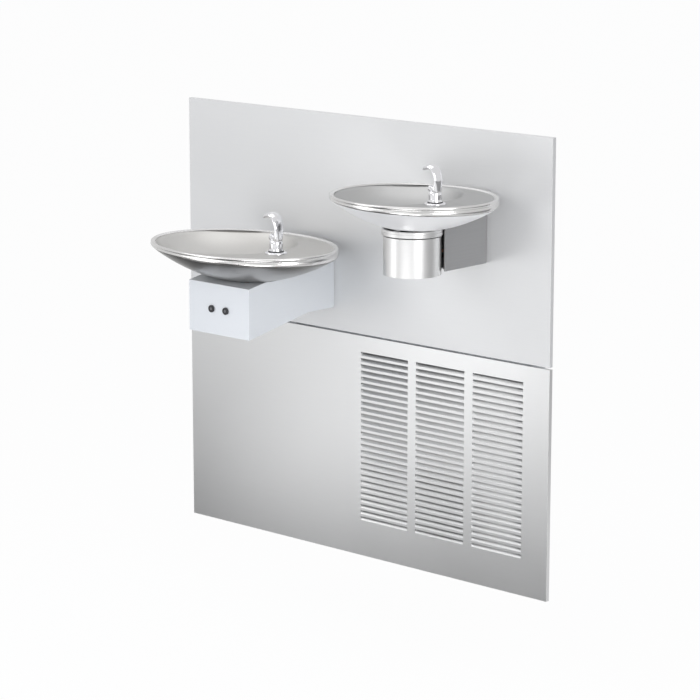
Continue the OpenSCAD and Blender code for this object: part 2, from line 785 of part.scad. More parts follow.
lens_in = 0.6;
lens_len = 6;
module sensor_lenses() {
    color("black")
    for (side = [-1, 1])
        rod_out(low_x + side * eye_x, low_arm_reach - arm_t, low_arm_reach - lens_in, eye_z, eye_r);
}
sensor_w = 64;
sensor_h = 34;
sensor_d = 22;
module sensor_module() {
    color("darkslategray")
    block(low_x - sensor_w / 2, low_x + sensor_w / 2, low_arm_reach - arm_t - sensor_d, low_arm_reach - arm_t,
        eye_z - sensor_h / 2, eye_z + sensor_h / 2);
}

valve_w = 40;
valve_len = 50;
valve_h = 36;
valve_back = 100;
low_wall_x = low_x + low_arm_w / 2 - arm_t;
tube_wall_gap = 28;
low_tube_x = low_wall_x - tube_wall_gap;
low_tube_up = 4;
low_tube_z = low_waste_z + low_tube_up;
valve_coil_drop = 12;
// The solenoid valve on the arm's right wall: body, coil and the two tube sockets
module solenoid_valve() {
    color("peru") {
        block(low_wall_x - valve_w, low_wall_x, valve_back, valve_back + valve_len,
            low_tube_z - valve_h / 2, low_tube_z + valve_h / 2);
        rod_up(low_wall_x - valve_w / 2, valve_back + valve_len / 2, low_tube_z - valve_h / 2 - valve_coil_drop,
            low_tube_z, valve_w * 0.38);
    }
}

// Water tube under a bowl: its start beside the bowl's middle, and how far on towards the bubbler it
// levels out and rises, all as shares
tube_start_shares = [0.06, 0.05];
tube_level_share = 0.2;
tube_rise_share = 0.42;
tube_clear = 1.6;
tube_lift = shell_t + tube_r + tube_clear;
tube_dip = 9;
tube_slope = 1.2;
tube_foot = 11;
tube_drop = 20;
tube_sides = 10;

function unit(v) = v / norm(v);
function across(v) = [-v[1], v[0]];

// A tube through points [distance along, height] in an upright plane that starts at p and runs along dir
module plane_tube(p, dir, path, r) {
    n = len(path);
    stack_loft([for (i = [0:n - 1])
        let(d1 = across(unit(path[max(i, 1)] - path[max(i, 1) - 1])),
            d2 = across(unit(path[min(i, n - 2) + 1] - path[min(i, n - 2)])),
            m = unit(d1 + d2), k = r / (m * d1))
        [for (j = [0:tube_sides - 1]) let(t = 360 * j / tube_sides, side = r * cos(t), mitre = k * sin(t))
            [p[0] + dir[0] * (path[i][0] + m[0] * mitre) - dir[1] * side,
             p[1] + dir[1] * (path[i][0] + m[0] * mitre) + dir[0] * side,
             path[i][1] + m[1] * mitre]]]);
}

// The tube from beside the waste pipe up to a bubbler's shank
module bubbler_tube(x, out, a, b, shell_z, bx, bout, shank_z) {
    p = [x + tube_start_shares[0] * a, -out - tube_start_shares[1] * b];
    v = [bx, -bout] - p;
    far = norm(v);
    low = shell_z + tube_lift;
    plane_tube(p, unit(v), [
        [0, shell_z - tube_drop + seat_gap],
        [0, shell_z - tube_dip],
        [far * tube_level_share, low],
        [far * tube_rise_share, low + tube_slope],
        [far, shank_z - tube_foot],
        [far, shank_z]], tube_r);
}

module low_supply() {
    x = low_x + tube_start_shares[0] * low_a;
    y = -low_reach - tube_start_shares[1] * low_b;
    color("orange") {
        run([[low_tube_x, waste_joint_y, low_tube_z], [low_tube_x, -valve_back, low_tube_z]], tube_r);
        run([[low_tube_x, -valve_back - valve_len, low_tube_z], [low_tube_x, y, low_tube_z],
            [x, y, low_tube_z], [x, y, low_shell_z - tube_drop]], tube_r);
        bubbler_tube(low_x, low_reach, low_a, low_b, low_shell_z, low_bubbler_x, low_bubbler_reach,
            low_deck_z - shank_drop);
    }
}

// Valve, guide rods and return spring inside the push sleeve
push_up = 14;
push_z = high_arm_z + arm_t + push_up;
bracket_t = 3;
bracket_w = 60;
bracket_back = 30;
body_back = 134;
body_front = 174;
body_w = 28;
body_h = 20;
ear_in = 16;
ear_t = 4;
ear_seat = 6;
ear_over = 4;
bore_more = 4;
rod_x = 24;
rod_front = 203.5;
plate_reach = 190;
plate_t = 3;
bush_r = 7;
bush_len = 12;
plunger_r = 4;
plunger_back = 162;
collar_r = 8.5;
collar_t = 2;
spring_turns = 5;
spring_r = 6.4;
spring_wire_r = 0.8;
inlet_dx = 8;
bracket_z = high_arm_z + arm_t;

module high_arm() {
    z1 = high_arm_z + high_arm_h;
    x0 = high_x - high_arm_w / 2;
    x1 = high_x + high_arm_w / 2;
    color("gray")
    difference() {
        block(x0, x1, arm_back, high_arm_reach, high_arm_z, z1);
        difference() {
            block(x0 + arm_t, x1 - arm_t, arm_back + arm_t, high_arm_reach + over, high_arm_z + arm_t, z1 - arm_t);
            rod_up(high_x, sleeve_reach, high_arm_z, z1, recess_r + arm_t);
        }
        rod_up(high_x, sleeve_reach, high_arm_z - over, z1 + over, recess_r);
        block(high_x - slot_w / 2, high_x + slot_w / 2, arm_back + arm_t + over, high_arm_reach,
            bracket_z, sleeve_top);
        high_holes(arm_back - over, arm_back + arm_t + over, bolt_r + hole_clear);
        bowl_space(high_x, high_reach, high_a, high_b, high_rim_z, high_bowl_h);
    }
}
slot_w = 70;

module trim_ring() {
    color("gainsboro")
    translate([high_x, -sleeve_reach, ring_z - ring_h]) rotate_extrude() polygon([
        [sleeve_r - ring_lip * 2, 0],
        [sleeve_r + ring_lip * 0.5, 0],
        [sleeve_r + ring_lip, ring_lip * 0.5],
        [sleeve_r + ring_lip, ring_h - ring_lip],
        [sleeve_r, ring_h],
        [sleeve_r - ring_lip * 2, ring_h]]);
}

module push_bar() {
    color("lightgray")
    difference() {
        rod_up(high_x, sleeve_reach, sleeve_z, sleeve_top, sleeve_r);
        rod_up(high_x, sleeve_reach, sleeve_z + sleeve_t, sleeve_top + over, sleeve_r - sleeve_t);
        block(high_x - slot_w / 2, high_x + slot_w / 2, sleeve_reach - sleeve_r - over, sleeve_reach - sleeve_r / 2,
            sleeve_z + sleeve_t * 2, sleeve_top + over);
    }
}

// The carriage inside the sleeve: a cross plate with two bushes that run on the guide rods
module push_carriage() {
    color("goldenrod")
    difference() {
        union() {
            intersection() {
                block(high_x - sleeve_r, high_x + sleeve_r, plate_reach, plate_reach + plate_t,
                    push_z - bush_r, push_z + bush_r);
                rod_up(high_x, sleeve_reach, sleeve_z, sleeve_top, sleeve_r - sleeve_t - seat_gap);
            }
            for (side = [-1, 1])
                rod_out(high_x + side * rod_x, plate_reach, plate_reach + bush_len, push_z, bush_r);
        }
        for (side = [-1, 1])
            rod_out(high_x + side * rod_x, plate_reach - over, plate_reach + bush_len + over, push_z,
                rod_r + run_clear);
    }
}

module valve_bracket() {
    color("steelblue") {
        block(high_x - bracket_w / 2, high_x + bracket_w / 2, bracket_back, body_front,
            bracket_z, bracket_z + bracket_t);
        for (side = [-1, 1])
            translate([high_x + side * (bracket_w / 2 + ear_in) / 2, 0, 0])
                block(-(bracket_w / 2 - ear_in) / 2, (bracket_w / 2 - ear_in) / 2, body_back + ear_seat,
                    body_back + ear_seat + ear_t, bracket_z, push_z + bush_r + ear_over);
    }
}

module guide_rods() {
    color("silver")
    for (side = [-1, 1])
        rod_out(high_x + side * rod_x, body_back + ear_seat + ear_t, rod_front, push_z, rod_r);
}

module valve_body() {
    color("peru")
    difference() {
        block(high_x - body_w / 2, high_x + body_w / 2, body_back, body_front,
            bracket_z + bracket_t, bracket_z + bracket_t + body_h);
        rod_out(high_x, plunger_back - push_travel - bore_more, body_front + over, push_z, plunger_r + run_clear);
    }
}

module valve_plunger() {
    color("silver") {
        rod_out(high_x, plunger_back, plate_reach - seat_gap, push_z, plunger_r);
        rod_out(high_x, plate_reach - seat_gap - collar_t, plate_reach - seat_gap, push_z, collar_r);
    }
}

spring_n = 12;
spring_sides = 6;
spring_len = plate_reach - seat_gap - collar_t - body_front;
spring_seat = 0.1;
// A wire ring's points round the spring's axis, which runs out from the wall
function spring_ring(i) = let(steps = spring_turns * spring_n, t = 360 * i / spring_n,
    y = body_front + spring_wire_r + spring_seat
        + (spring_len - 2 * spring_wire_r - 2 * spring_seat) * i / steps)
    [for (k = [0:spring_sides - 1]) let(u = 360 * k / spring_sides, r = spring_r + spring_wire_r * cos(u))
        [high_x + r * cos(t), -y - spring_wire_r * sin(u), push_z + r * sin(t)]];
module return_spring() {
    color("silver") stack_loft([for (i = [0:spring_turns * spring_n]) spring_ring(i)]);
}

module high_supply() {
    x = high_x + tube_start_shares[0] * high_a;
    color("orange") {
        run([[high_x + inlet_dx, -body_back, push_z], [high_x + inlet_dx, -body_back + supply_in, push_z],
            [high_x + inlet_dx, -body_back + supply_in, high_tube_z],
            [high_x + inlet_dx, waste_joint_y, high_tube_z]], tube_r);
        rod_up(x, high_reach + tube_start_shares[1] * high_b, bracket_z + bracket_t + body_h,
            high_shell_z - tube_drop, tube_r);
        bubbler_tube(high_x, high_reach, high_a, high_b, high_shell_z, high_bubbler_x, high_bubbler_reach,
            high_deck_z - shank_drop * high_bubbler_scale);
    }
}
supply_in = 20;
tube_waste_gap = 1;
high_tube_z = high_waste_z - waste_r - tube_waste_gap;

// A bolt from the arm's rear flange to the backing plate, with its nut
module arm_bolt(x, z) {
    rod_out(x, arm_back + arm_t, arm_back + arm_t + bolt_head_h, z, bolt_head_r);
    rod_out(x, back_gap - backing_t, arm_back + arm_t, z, bolt_r);
    rod_out(x, back_gap - backing_t - bolt_nut_h, back_gap - backing_t, z, bolt_head_r);
}
module arm_bolts() {
    color("dimgray")
    for (side = [-1, 1]) {
        for (z = [low_arm_z + bolt_in, low_hole_top - bolt_in])
            arm_bolt(low_x + side * (low_arm_w / 2 - bolt_in), z);
        for (z = [high_arm_z + bolt_in, high_hole_top - bolt_in])
            arm_bolt(high_x + side * (high_arm_w / 2 - bolt_in), z);
    }
}

// Chiller behind the louvres
shelf_t = 2;
shelf_z = frame_bottom + rail_w;
shelf_top = shelf_z + shelf_t;
shelf_d = 150;
// Places of the chiller's pieces, in from the panel's right edge as the louvres are
shelf_left_side = 672.5;
shelf_right_side = 152.5;
tank_side = 607.5;
can_side = 482.5;
coil_side = 282.5;
shelf_left = panel_w / 2 - shelf_left_side;
shelf_right = panel_w / 2 - shelf_right_side;
shelf_edge = 20;
gusset_in = 4;
gusset_h = rail_w - gusset_in;
chill_y = 75;
tank_x = panel_w / 2 - tank_side;
can_x = panel_w / 2 - can_side;
coil_x = panel_w / 2 - coil_side;
coil_y = 12;
foot_h = 12;
foot_r = 9;
foot_in_x = 12;
foot_in_y = 11;
foot_plate_t = 3.5;
can_z = shelf_top + foot_h + foot_plate_t - free;
module chiller_shelf() {
    color("slategray") {
        block(shelf_left, shelf_right, -shelf_d, 0, shelf_z, shelf_top);
        block(shelf_left, shelf_right, -shelf_d, -shelf_d + shelf_t, shelf_z, shelf_z + shelf_edge);
        for (x = [shelf_left, shelf_right - shelf_t])
            side_extrude(x, x + shelf_t) polygon([
                [-rail_d, shelf_top],
                [-rail_d, shelf_z - gusset_h],
                [-rail_d - shelf_edge, shelf_z - gusset_h],
                [-shelf_d, shelf_z],
                [-shelf_d, shelf_top]]);
        motor_bracket();
    }
}

module compressor() {
    color("black") {
        translate([can_x, chill_y, can_z]) rotate_extrude() polygon([
            [0, 0],
            [can_r * 0.8, 0],
            [can_r * 0.96, can_h * 0.05],
            [can_r, can_h * 0.14],
            [can_r, can_h * 0.48],
            [can_r * 1.03, can_h * 0.49],
            [can_r * 1.03, can_h * 0.53],
            [can_r, can_h * 0.54],
            [can_r, can_h * 0.78],
            [can_r * 0.92, can_h * 0.92],
            [can_r * 0.6, can_h * 0.99],
            [0, can_h]]);
        block(can_x - can_r, can_x + can_r, -chill_y - can_r * 0.6, -chill_y + can_r * 0.6,
            shelf_top + foot_h, shelf_top + foot_h + foot_plate_t);
    }
}
module compressor_feet() {
    color("dimgray")
    for (sx = [-1, 1], sy = [-1, 1])
        rod_up(can_x + sx * (can_r - foot_in_x), -chill_y + sy * (can_r * 0.6 - foot_in_y),
            shelf_top, shelf_top + foot_h, foot_r);
}

fins = 22;
fin_t = 1.2;
coil_tubes = 5;
coil_pipe_r = 4.5;
coil_pipe_end = 6;
module condenser() {
    x0 = coil_x - coil_w / 2;
    color("silver") {
        for (i = [0:fins - 1])
            block(x0 + i * (coil_w - fin_t) / (fins - 1), x0 + i * (coil_w - fin_t) / (fins - 1) + fin_t,
                -coil_y - coil_d, -coil_y, shelf_top, shelf_top + coil_h);
        for (i = [0:coil_tubes - 1])
            rod_right(x0 - coil_pipe_end, x0 + coil_w + coil_pipe_end, -coil_y - coil_d / 2,
                shelf_top + coil_h * (i + 0.5) / coil_tubes, coil_pipe_r);
    }
}

shroud_t = 1.5;
fan_z = shelf_top + coil_h / 2;
shroud_y = coil_y + coil_d;
fan_gap = 4;
fan_tip_gap = 5;
fan_y = shroud_y + shroud_t + fan_gap;
hub_len = 18;
hub_r = 14;
shaft_r = 4;
motor_r = 30;
motor_len = 46;
module fan_shroud() {
    color("slategray")
    difference() {
        block(coil_x - coil_w / 2, coil_x + coil_w / 2, -shroud_y - shroud_t, -shroud_y,
            shelf_top, shelf_top + coil_h);
        rod_out(coil_x, -shroud_y - shroud_t - over, -shroud_y + over, fan_z, fan_r + fan_tip_gap);
    }
}

blade_pitch = 28;
module fan_blade() {
    chord = fan_r * 0.55;
    color("white")
    translate([coil_x, fan_y + hub_len / 2, fan_z]) rotate([90, 0, 0]) difference() {
        union() {
            translate([0, 0, -hub_len / 2]) cylinder(r = hub_r, h = hub_len);
            for (i = [0:fan_blades - 1])
                rotate([0, 0, 360 * i / fan_blades]) rotate([blade_pitch, 0, 0])
                    translate([hub_r * 0.7, 0, -shroud_t / 2]) linear_extrude(shroud_t) polygon([
                        [0, -chord * 0.28],
                        [fan_r * 0.45, -chord * 0.5],
                        [fan_r - hub_r, -chord * 0.42],
                        [fan_r - hub_r * 0.9, chord * 0.1],
                        [fan_r * 0.62, chord * 0.5],
                        [0, chord * 0.28]]);
        }
        translate([0, 0, -hub_len]) cylinder(r = shaft_r + run_clear, h = hub_len * 1.3);
    }
}

motor_y = fan_y + hub_len + fan_gap;
motor_plate_t = 3;
motor_plate_in = 6;
module fan_motor() {
    color("darkslategray") {
        rod_out(coil_x, -motor_y - motor_len, -motor_y, fan_z, motor_r);
        rod_out(coil_x, -motor_y, -motor_y + hub_len, fan_z, shaft_r);
    }
}
module motor_bracket() {
    x0 = coil_x - motor_r * 0.8;
    x1 = coil_x + motor_r * 0.8;
    back = -motor_y - motor_len;
    block(x0, x1, back - motor_plate_t, back, shelf_z, fan_z + motor_r * 0.6);
    block(x0, x1, back - motor_plate_t, -motor_y - motor_plate_in, shelf_z, shelf_top + motor_plate_t);
}

module cooling_tank() {
    color("lightsteelblue")
    translate([tank_x, chill_y, shelf_top]) rotate_extrude() polygon([
        [0, 0],
        [tank_r * 0.94, 0],
        [tank_r, tank_r * 0.08],
        [tank_r, tank_h - tank_r * 0.14],
        [tank_r * 0.88, tank_h],
        [0, tank_h]]);
}

stop_side = 162.5;
stop_x = stop_side - panel_w / 2;
stop_z = -300;
stop_h = 32;
stop_r = 13;
stem_r = 5;
stem_len = 10;
inlet_len = 40;
stop_y = water_line_y;
module stop_valve() {
    color("goldenrod") {
        rod_up(stop_x, -stop_y, stop_z - stop_h / 2, stop_z + stop_h / 2, stop_r);
        rod_out(stop_x, -stop_y, -stop_y + stop_r + stem_len, stop_z, stem_r);
        rod_up(stop_x, -stop_y, stop_z - stop_h / 2 - inlet_len, stop_z - stop_h / 2, inlet_r);
    }
}

// The lever of the stop valve, along the pipe when open
lever_len = 46;
lever_w = 12;
lever_t = 5;
module stop_lever() {
    y = stop_y - stop_r - stem_len + lever_t + over;
    color("firebrick")
    difference() {
        union() {
            rod_out(stop_x, -y, -y + lever_t, stop_z, lever_w * 0.75);
            block(stop_x - lever_w / 2, stop_x + lever_w / 2, -y, -y + lever_t, stop_z, stop_z + lever_len);
        }
        rod_out(stop_x, -y - over, -y + lever_t + over, stop_z, stem_r + run_clear);
    }
}

cold_x = low_tube_x;
line_up = 50;
line_step = 20;
tank_port = 25;
hot_rise = 24;
cold_rise = 34;
line_z = shelf_top + tank_h + line_up;
module water_lines() {
    color("orange") {
        run([[stop_x, stop_y, stop_z + stop_h / 2], [stop_x, stop_y, line_z],
            [tank_x - tank_port, stop_y, line_z], [tank_x - tank_port, stop_y, shelf_top + tank_h]], tube_r);
        run([[cold_x, water_line_y, shelf_top + tank_h], [cold_x, water_line_y, low_tube_z],
            [cold_x, waste_joint_y, low_tube_z]], tube_r);
        run([[cold_x, water_line_y, line_z + line_step], [high_x + inlet_dx, water_line_y, line_z + line_step],
            [high_x + inlet_dx, water_line_y, high_tube_z], [high_x + inlet_dx, waste_joint_y, high_tube_z]],
            tube_r);
    }
}

module refrigerant_lines() {
    top = shelf_top + coil_h;
    can_top = can_z + can_h * 0.995;
    y = coil_y + coil_d / 2;
    color("coral") {
        run([[can_x + can_r * 0.5, chill_y, can_top], [can_x + can_r * 0.5, chill_y, top + hot_rise],
            [coil_x - coil_w / 3, chill_y, top + hot_rise], [coil_x - coil_w / 3, y, top + hot_rise],
            [coil_x - coil_w / 3, y, top]], tube_r);
        run([[coil_x + coil_w / 3, y, top], [coil_x + coil_w / 3, y, top + cold_rise],
            [tank_x, y, top + cold_rise], [tank_x, chill_y, top + cold_rise], [tank_x, chill_y, shelf_top + tank_h]], tube_r);
    }
}

upper_panel();
lower_panel();
panel_clips();
frame_side_left();
frame_side_right();
frame_top_rail();
frame_mid_rail();
frame_bottom_rail();
low_backing();
high_backing();
low_arm_plate();
low_arm();
low_arm_cover();
low_basin();
low_shell();
low_escutcheon();
low_bubbler_gasket();
low_bubbler();
low_nozzle();
low_bubbler_nut();
low_strainer();
low_waste();
sensor_lenses();
sensor_module();
solenoid_valve();
low_supply();
high_arm_plate();
high_arm();
high_basin();
high_shell();
high_escutcheon();
high_bubbler_gasket();
high_bubbler();
high_nozzle();
high_bubbler_nut();
high_strainer();
high_waste();
trim_ring();
push_bar();
push_carriage();
valve_bracket();
guide_rods();
valve_body();
valve_plunger();
return_spring();
high_supply();
arm_bolts();
waste_line();
chiller_shelf();
compressor();
compressor_feet();
condenser();
fan_shroud();
fan_motor();
fan_blade();
cooling_tank();
stop_valve();
stop_lever();
water_lines();
refrigerant_lines();
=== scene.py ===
import math

import bmesh
import bpy
from mathutils import Matrix, Vector


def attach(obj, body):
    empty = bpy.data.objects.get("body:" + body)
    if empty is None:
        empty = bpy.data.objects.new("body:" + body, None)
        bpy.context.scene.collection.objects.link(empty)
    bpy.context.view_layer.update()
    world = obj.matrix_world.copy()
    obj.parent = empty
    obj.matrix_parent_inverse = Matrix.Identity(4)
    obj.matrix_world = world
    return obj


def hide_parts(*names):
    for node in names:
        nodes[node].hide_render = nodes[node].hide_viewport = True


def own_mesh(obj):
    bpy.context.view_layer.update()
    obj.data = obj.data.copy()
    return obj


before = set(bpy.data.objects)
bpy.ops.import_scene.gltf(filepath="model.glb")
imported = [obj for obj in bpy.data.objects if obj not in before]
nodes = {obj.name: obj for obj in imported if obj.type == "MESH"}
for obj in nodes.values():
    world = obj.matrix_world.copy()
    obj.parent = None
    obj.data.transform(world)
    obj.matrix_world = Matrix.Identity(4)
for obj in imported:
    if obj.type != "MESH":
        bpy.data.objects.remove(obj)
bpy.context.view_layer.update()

# Studio
# A pale floor and a white world. Large soft boxes stand high on the left, in front, overhead and on the right,
# and three small ones low down light the panels and the bowls' undersides. The camera has a long lens.
FLOOR_Z, FLOOR_SIZE = -0.65, 30
FLOOR_COLOUR, FLOOR_GLOW = (0.83, 0.83, 0.84, 1), 0.96
# Painted shade: the floor's glow, as the metal reflects it, is darker in a pool on the left and towards the far
# right.
POOL_MIDDLE, POOL_NEAR, POOL_FAR, POOL_SHADE_TONE = (-0.8, -0.8, FLOOR_Z), 0.7, 2.7, 0.06
SIDE_HEADING, SIDE_NEAR, SIDE_FAR, SIDE_SHADE_TONE = (0.7, 0.7, 0), 0.9, 2.8, 0.3


def link(from_socket, to_socket):
    to_socket.id_data.links.new(from_socket, to_socket)


def blank_material(name):
    made = bpy.data.materials.new(name)
    made.use_nodes = True
    made.node_tree.nodes.clear()
    return made, made.node_tree.nodes


def maths(tree, operation, first, second):
    made = tree.new("ShaderNodeMath")
    made.operation = operation
    for slot, value in ((0, first), (1, second)):
        if isinstance(value, (int, float)):
            made.inputs[slot].default_value = value
        else:
            link(value, made.inputs[slot])
    return made.outputs[0]


def eased(tree, operation, place, other, near, far, near_tone, far_tone):
    """A tone that changes smoothly with a distance or a dot product."""
    measured = tree.new("ShaderNodeVectorMath")
    measured.operation = operation
    measured.inputs[1].default_value = other
    link(place, measured.inputs[0])
    toned = tree.new("ShaderNodeMapRange")
    toned.interpolation_type = "SMOOTHSTEP"
    for label, value in (("From Min", near), ("From Max", far), ("To Min", near_tone), ("To Max", far_tone)):
        toned.inputs[label].default_value = value
    link(measured.outputs["Value"], toned.inputs["Value"])
    return toned.outputs[0]


def pale_floor(name):
    """Matt and white to the camera. Its glow in reflections is painted darker in a pool on the left and far out on
    the right.
    """
    made, tree = blank_material(name)
    out = tree.new("ShaderNodeOutputMaterial")
    mix = tree.new("ShaderNodeMixShader")
    matt = tree.new("ShaderNodeBsdfDiffuse")
    bright = tree.new("ShaderNodeEmission")
    path = tree.new("ShaderNodeLightPath").outputs
    place = tree.new("ShaderNodeTexCoord").outputs["Object"]
    # Painted shade in the floor's reflected glow: a dim pool on the left and dimming far out on the right.
    pool = eased(tree, "DISTANCE", place, POOL_MIDDLE, POOL_NEAR, POOL_FAR, POOL_SHADE_TONE, 1)
    side = eased(tree, "DOT_PRODUCT", place, SIDE_HEADING, SIDE_NEAR, SIDE_FAR, 1, SIDE_SHADE_TONE)
    strength = maths(tree, "MAXIMUM", maths(tree, "MINIMUM", pool, side), path["Is Camera Ray"])
    seen = maths(tree, "MAXIMUM", path["Is Camera Ray"], path["Is Glossy Ray"])
    matt.inputs["Color"].default_value = FLOOR_COLOUR
    link(strength, bright.inputs["Strength"])
    link(maths(tree, "MULTIPLY", seen, FLOOR_GLOW), mix.inputs["Fac"])
    link(matt.outputs[0], mix.inputs[1])
    link(bright.outputs[0], mix.inputs[2])
    link(mix.outputs[0], out.inputs["Surface"])
    return made


floor_bm = bmesh.new()
bmesh.ops.create_grid(floor_bm, x_segments=1, y_segments=1, size=FLOOR_SIZE / 2,
                      matrix=Matrix.Translation((0, 0, FLOOR_Z)))
floor_mesh = bpy.data.meshes.new("floor")
floor_bm.to_mesh(floor_mesh)
floor_bm.free()
floor_mesh.materials.append(pale_floor("pale_floor"))
floor = bpy.data.objects.new("floor", floor_mesh)
bpy.context.scene.collection.objects.link(floor)


def soft_box(name, place, aim, width, height, power, spread=180):
    light = bpy.data.lights.new(name, "AREA")
    light.shape = "RECTANGLE"
    light.size = width
    light.size_y = height
    light.energy = power
    light.spread = math.radians(spread)
    lamp = bpy.data.objects.new(name, light)
    lamp.location = place
    lamp.rotation_euler = (Vector(aim) - Vector(place)).to_track_quat("-Z", "Y").to_euler()
    lamp.visible_camera = False
    bpy.context.scene.collection.objects.link(lamp)


soft_box("key_softbox", (-2.2, -2.6, 2.6), (0, 0, 0), 2.2, 1.6, 32)
soft_box("front_softbox", (0.8, -4.6, 1.2), (0, 0, 0), 2.4, 1.8, 10)
soft_box("top_softbox", (0, -0.3, 1.7), (0, -0.2, 0), 1.5, 1.5, 4.6)
soft_box("right_fill", (3.2, -1.4, 0.9), (0, 0, 0), 1.4, 1.8, 46)
soft_box("upper_glow", (-0.75, -1.5, -0.2), (0.25, 0, 0.1), 0.6, 0.6, 2.0)
soft_box("lower_glow", (-0.75, -0.95, -0.58), (0.05, 0, -0.3), 0.6, 0.3, 0.8)
soft_box("under_fill", (0.55, -1.3, -0.5), (0.25, -0.1, 0.2), 0.8, 0.5, 1.1, 80)

world = bpy.data.worlds.new("studio_air")
bpy.context.scene.world = world
world.use_nodes = True
air = world.node_tree.nodes
air.clear()
air_out = air.new("ShaderNodeOutputWorld")
air_mix = air.new("ShaderNodeMixShader")
air_light = air.new("ShaderNodeBackground")
air_white = air.new("ShaderNodeBackground")
air_light.inputs["Color"].default_value = (0.93, 0.95, 1, 1)
air_light.inputs["Strength"].default_value = 0.62
air_white.inputs["Strength"].default_value = 1.0
air_path = air.new("ShaderNodeLightPath").outputs
link(maths(air, "MAXIMUM", air_path["Is Camera Ray"], air_path["Is Glossy Ray"]), air_mix.inputs["Fac"])
link(air_light.outputs[0], air_mix.inputs[1])
link(air_white.outputs[0], air_mix.inputs[2])
link(air_mix.outputs[0], air_out.inputs["Surface"])
bpy.context.scene.view_settings.view_transform = "Standard"

AZIMUTH, ELEVATION, DISTANCE = math.radians(42.1), math.radians(12), 5.478
LOOK_AT = Vector((-0.0357, 0, -0.038))
lens = bpy.data.cameras.new("camera")
lens.sensor_width = 36
lens.lens = 139.0
lens.clip_end = 60
camera = bpy.data.objects.new("camera", lens)
camera.location = LOOK_AT + DISTANCE * Vector((
    math.sin(AZIMUTH) * math.cos(ELEVATION), -math.cos(AZIMUTH) * math.cos(ELEVATION), math.sin(ELEVATION)))
camera.rotation_euler = (LOOK_AT - camera.location).to_track_quat("-Z", "Y").to_euler()
bpy.context.scene.collection.objects.link(camera)
bpy.context.scene.camera = camera

# Wall frame, backing plates and panel clips
# Folded channels and hat-shaped plates of hot-dip galvanised sheet, bolted to the studs on both sides. The
# zinc has dried in flat crystals, and the cut edges are bare and a little darker.
MM = 0.001


def new_group(name, inputs, outputs):
    made = bpy.data.node_groups.new(name, "ShaderNodeTree")
    for label, kind, value in inputs:
        socket = made.interface.new_socket(label, in_out="INPUT", socket_type="NodeSocket" + kind)
        if value is not None:
            socket.default_value = value
    for label, kind in outputs:
        made.interface.new_socket(label, in_out="OUTPUT", socket_type="NodeSocket" + kind)
    return made, made.nodes.new("NodeGroupInput"), made.nodes.new("NodeGroupOutput")


# Wear: the narrow faces of the convex edges, where the finish is rubbed through in patches
wear_group, wear_in, wear_out = new_group(
    "worn_edges", [("Vector", "Vector", None), ("Start", "Float", 0.3), ("End", "Float", 0.6)], [("Mask", "Float")])
rubbed = wear_group.nodes.new("ShaderNodeAttribute")
rubbed.attribute_name = "rubbed"
wear_noise = wear_group.nodes.new("ShaderNodeTexNoise")
wear_noise.inputs["Scale"].default_value = 70.0
wear_noise.inputs["Detail"].default_value = 3.0
wear_range = wear_group.nodes.new("ShaderNodeMapRange")
link(wear_in.outputs["Vector"], wear_noise.inputs["Vector"])
link(wear_noise.outputs["Fac"], wear_range.inputs["Value"])
link(wear_in.outputs["Start"], wear_range.inputs["From Min"])
link(wear_in.outputs["End"], wear_range.inputs["From Max"])
link(maths(wear_group.nodes, "MULTIPLY", wear_range.outputs[0], rubbed.outputs["Fac"]), wear_out.inputs["Mask"])

# Handling: broad faint clouds of wiping and fingerprints
cloud_group, cloud_in, cloud_out = new_group(
    "wiped_clouds", [("Vector", "Vector", None), ("Scale", "Float", 9.0)], [("Mask", "Float")])
cloud_noise = cloud_group.nodes.new("ShaderNodeTexNoise")
cloud_noise.inputs["Detail"].default_value = 5.0
cloud_noise.inputs["Roughness"].default_value = 0.55
cloud_noise.inputs["Distortion"].default_value = 0.6
cloud_range = cloud_group.nodes.new("ShaderNodeMapRange")
cloud_range.inputs["From Min"].default_value = 0.35
cloud_range.inputs["From Max"].default_value = 0.68
link(cloud_in.outputs["Vector"], cloud_noise.inputs["Vector"])
link(cloud_in.outputs["Scale"], cloud_noise.inputs["Scale"])
link(cloud_noise.outputs["Fac"], cloud_range.inputs["Value"])
link(cloud_range.outputs[0], cloud_out.inputs["Mask"])


def put_group(tree, group, vector, **values):
    made = tree.new("ShaderNodeGroup")
    made.node_tree = group
    link(vector, made.inputs["Vector"])
    for label, value in values.items():
        made.inputs[label].default_value = value
    return made


FIRST_COLOUR, SECOND_COLOUR, MIXED_COLOUR = 6, 7, 2


def blend_colour(tree, mask, first, second):
    made = tree.new("ShaderNodeMix")
    made.data_type = "RGBA"
    link(mask, made.inputs["Factor"])
    for socket, value in ((FIRST_COLOUR, first), (SECOND_COLOUR, second)):
        if isinstance(value, tuple):
            made.inputs[socket].default_value = (*value, 1)
        else:
            link(value, made.inputs[socket])
    return made.outputs[MIXED_COLOUR]


def dress(node, material):
    """A CAD node keeps its shape and takes a finished material."""
    part = nodes[node]
    if not part.material_slots:
        part.data.materials.append(None)
    for holder in part.material_slots:
        holder.material = material


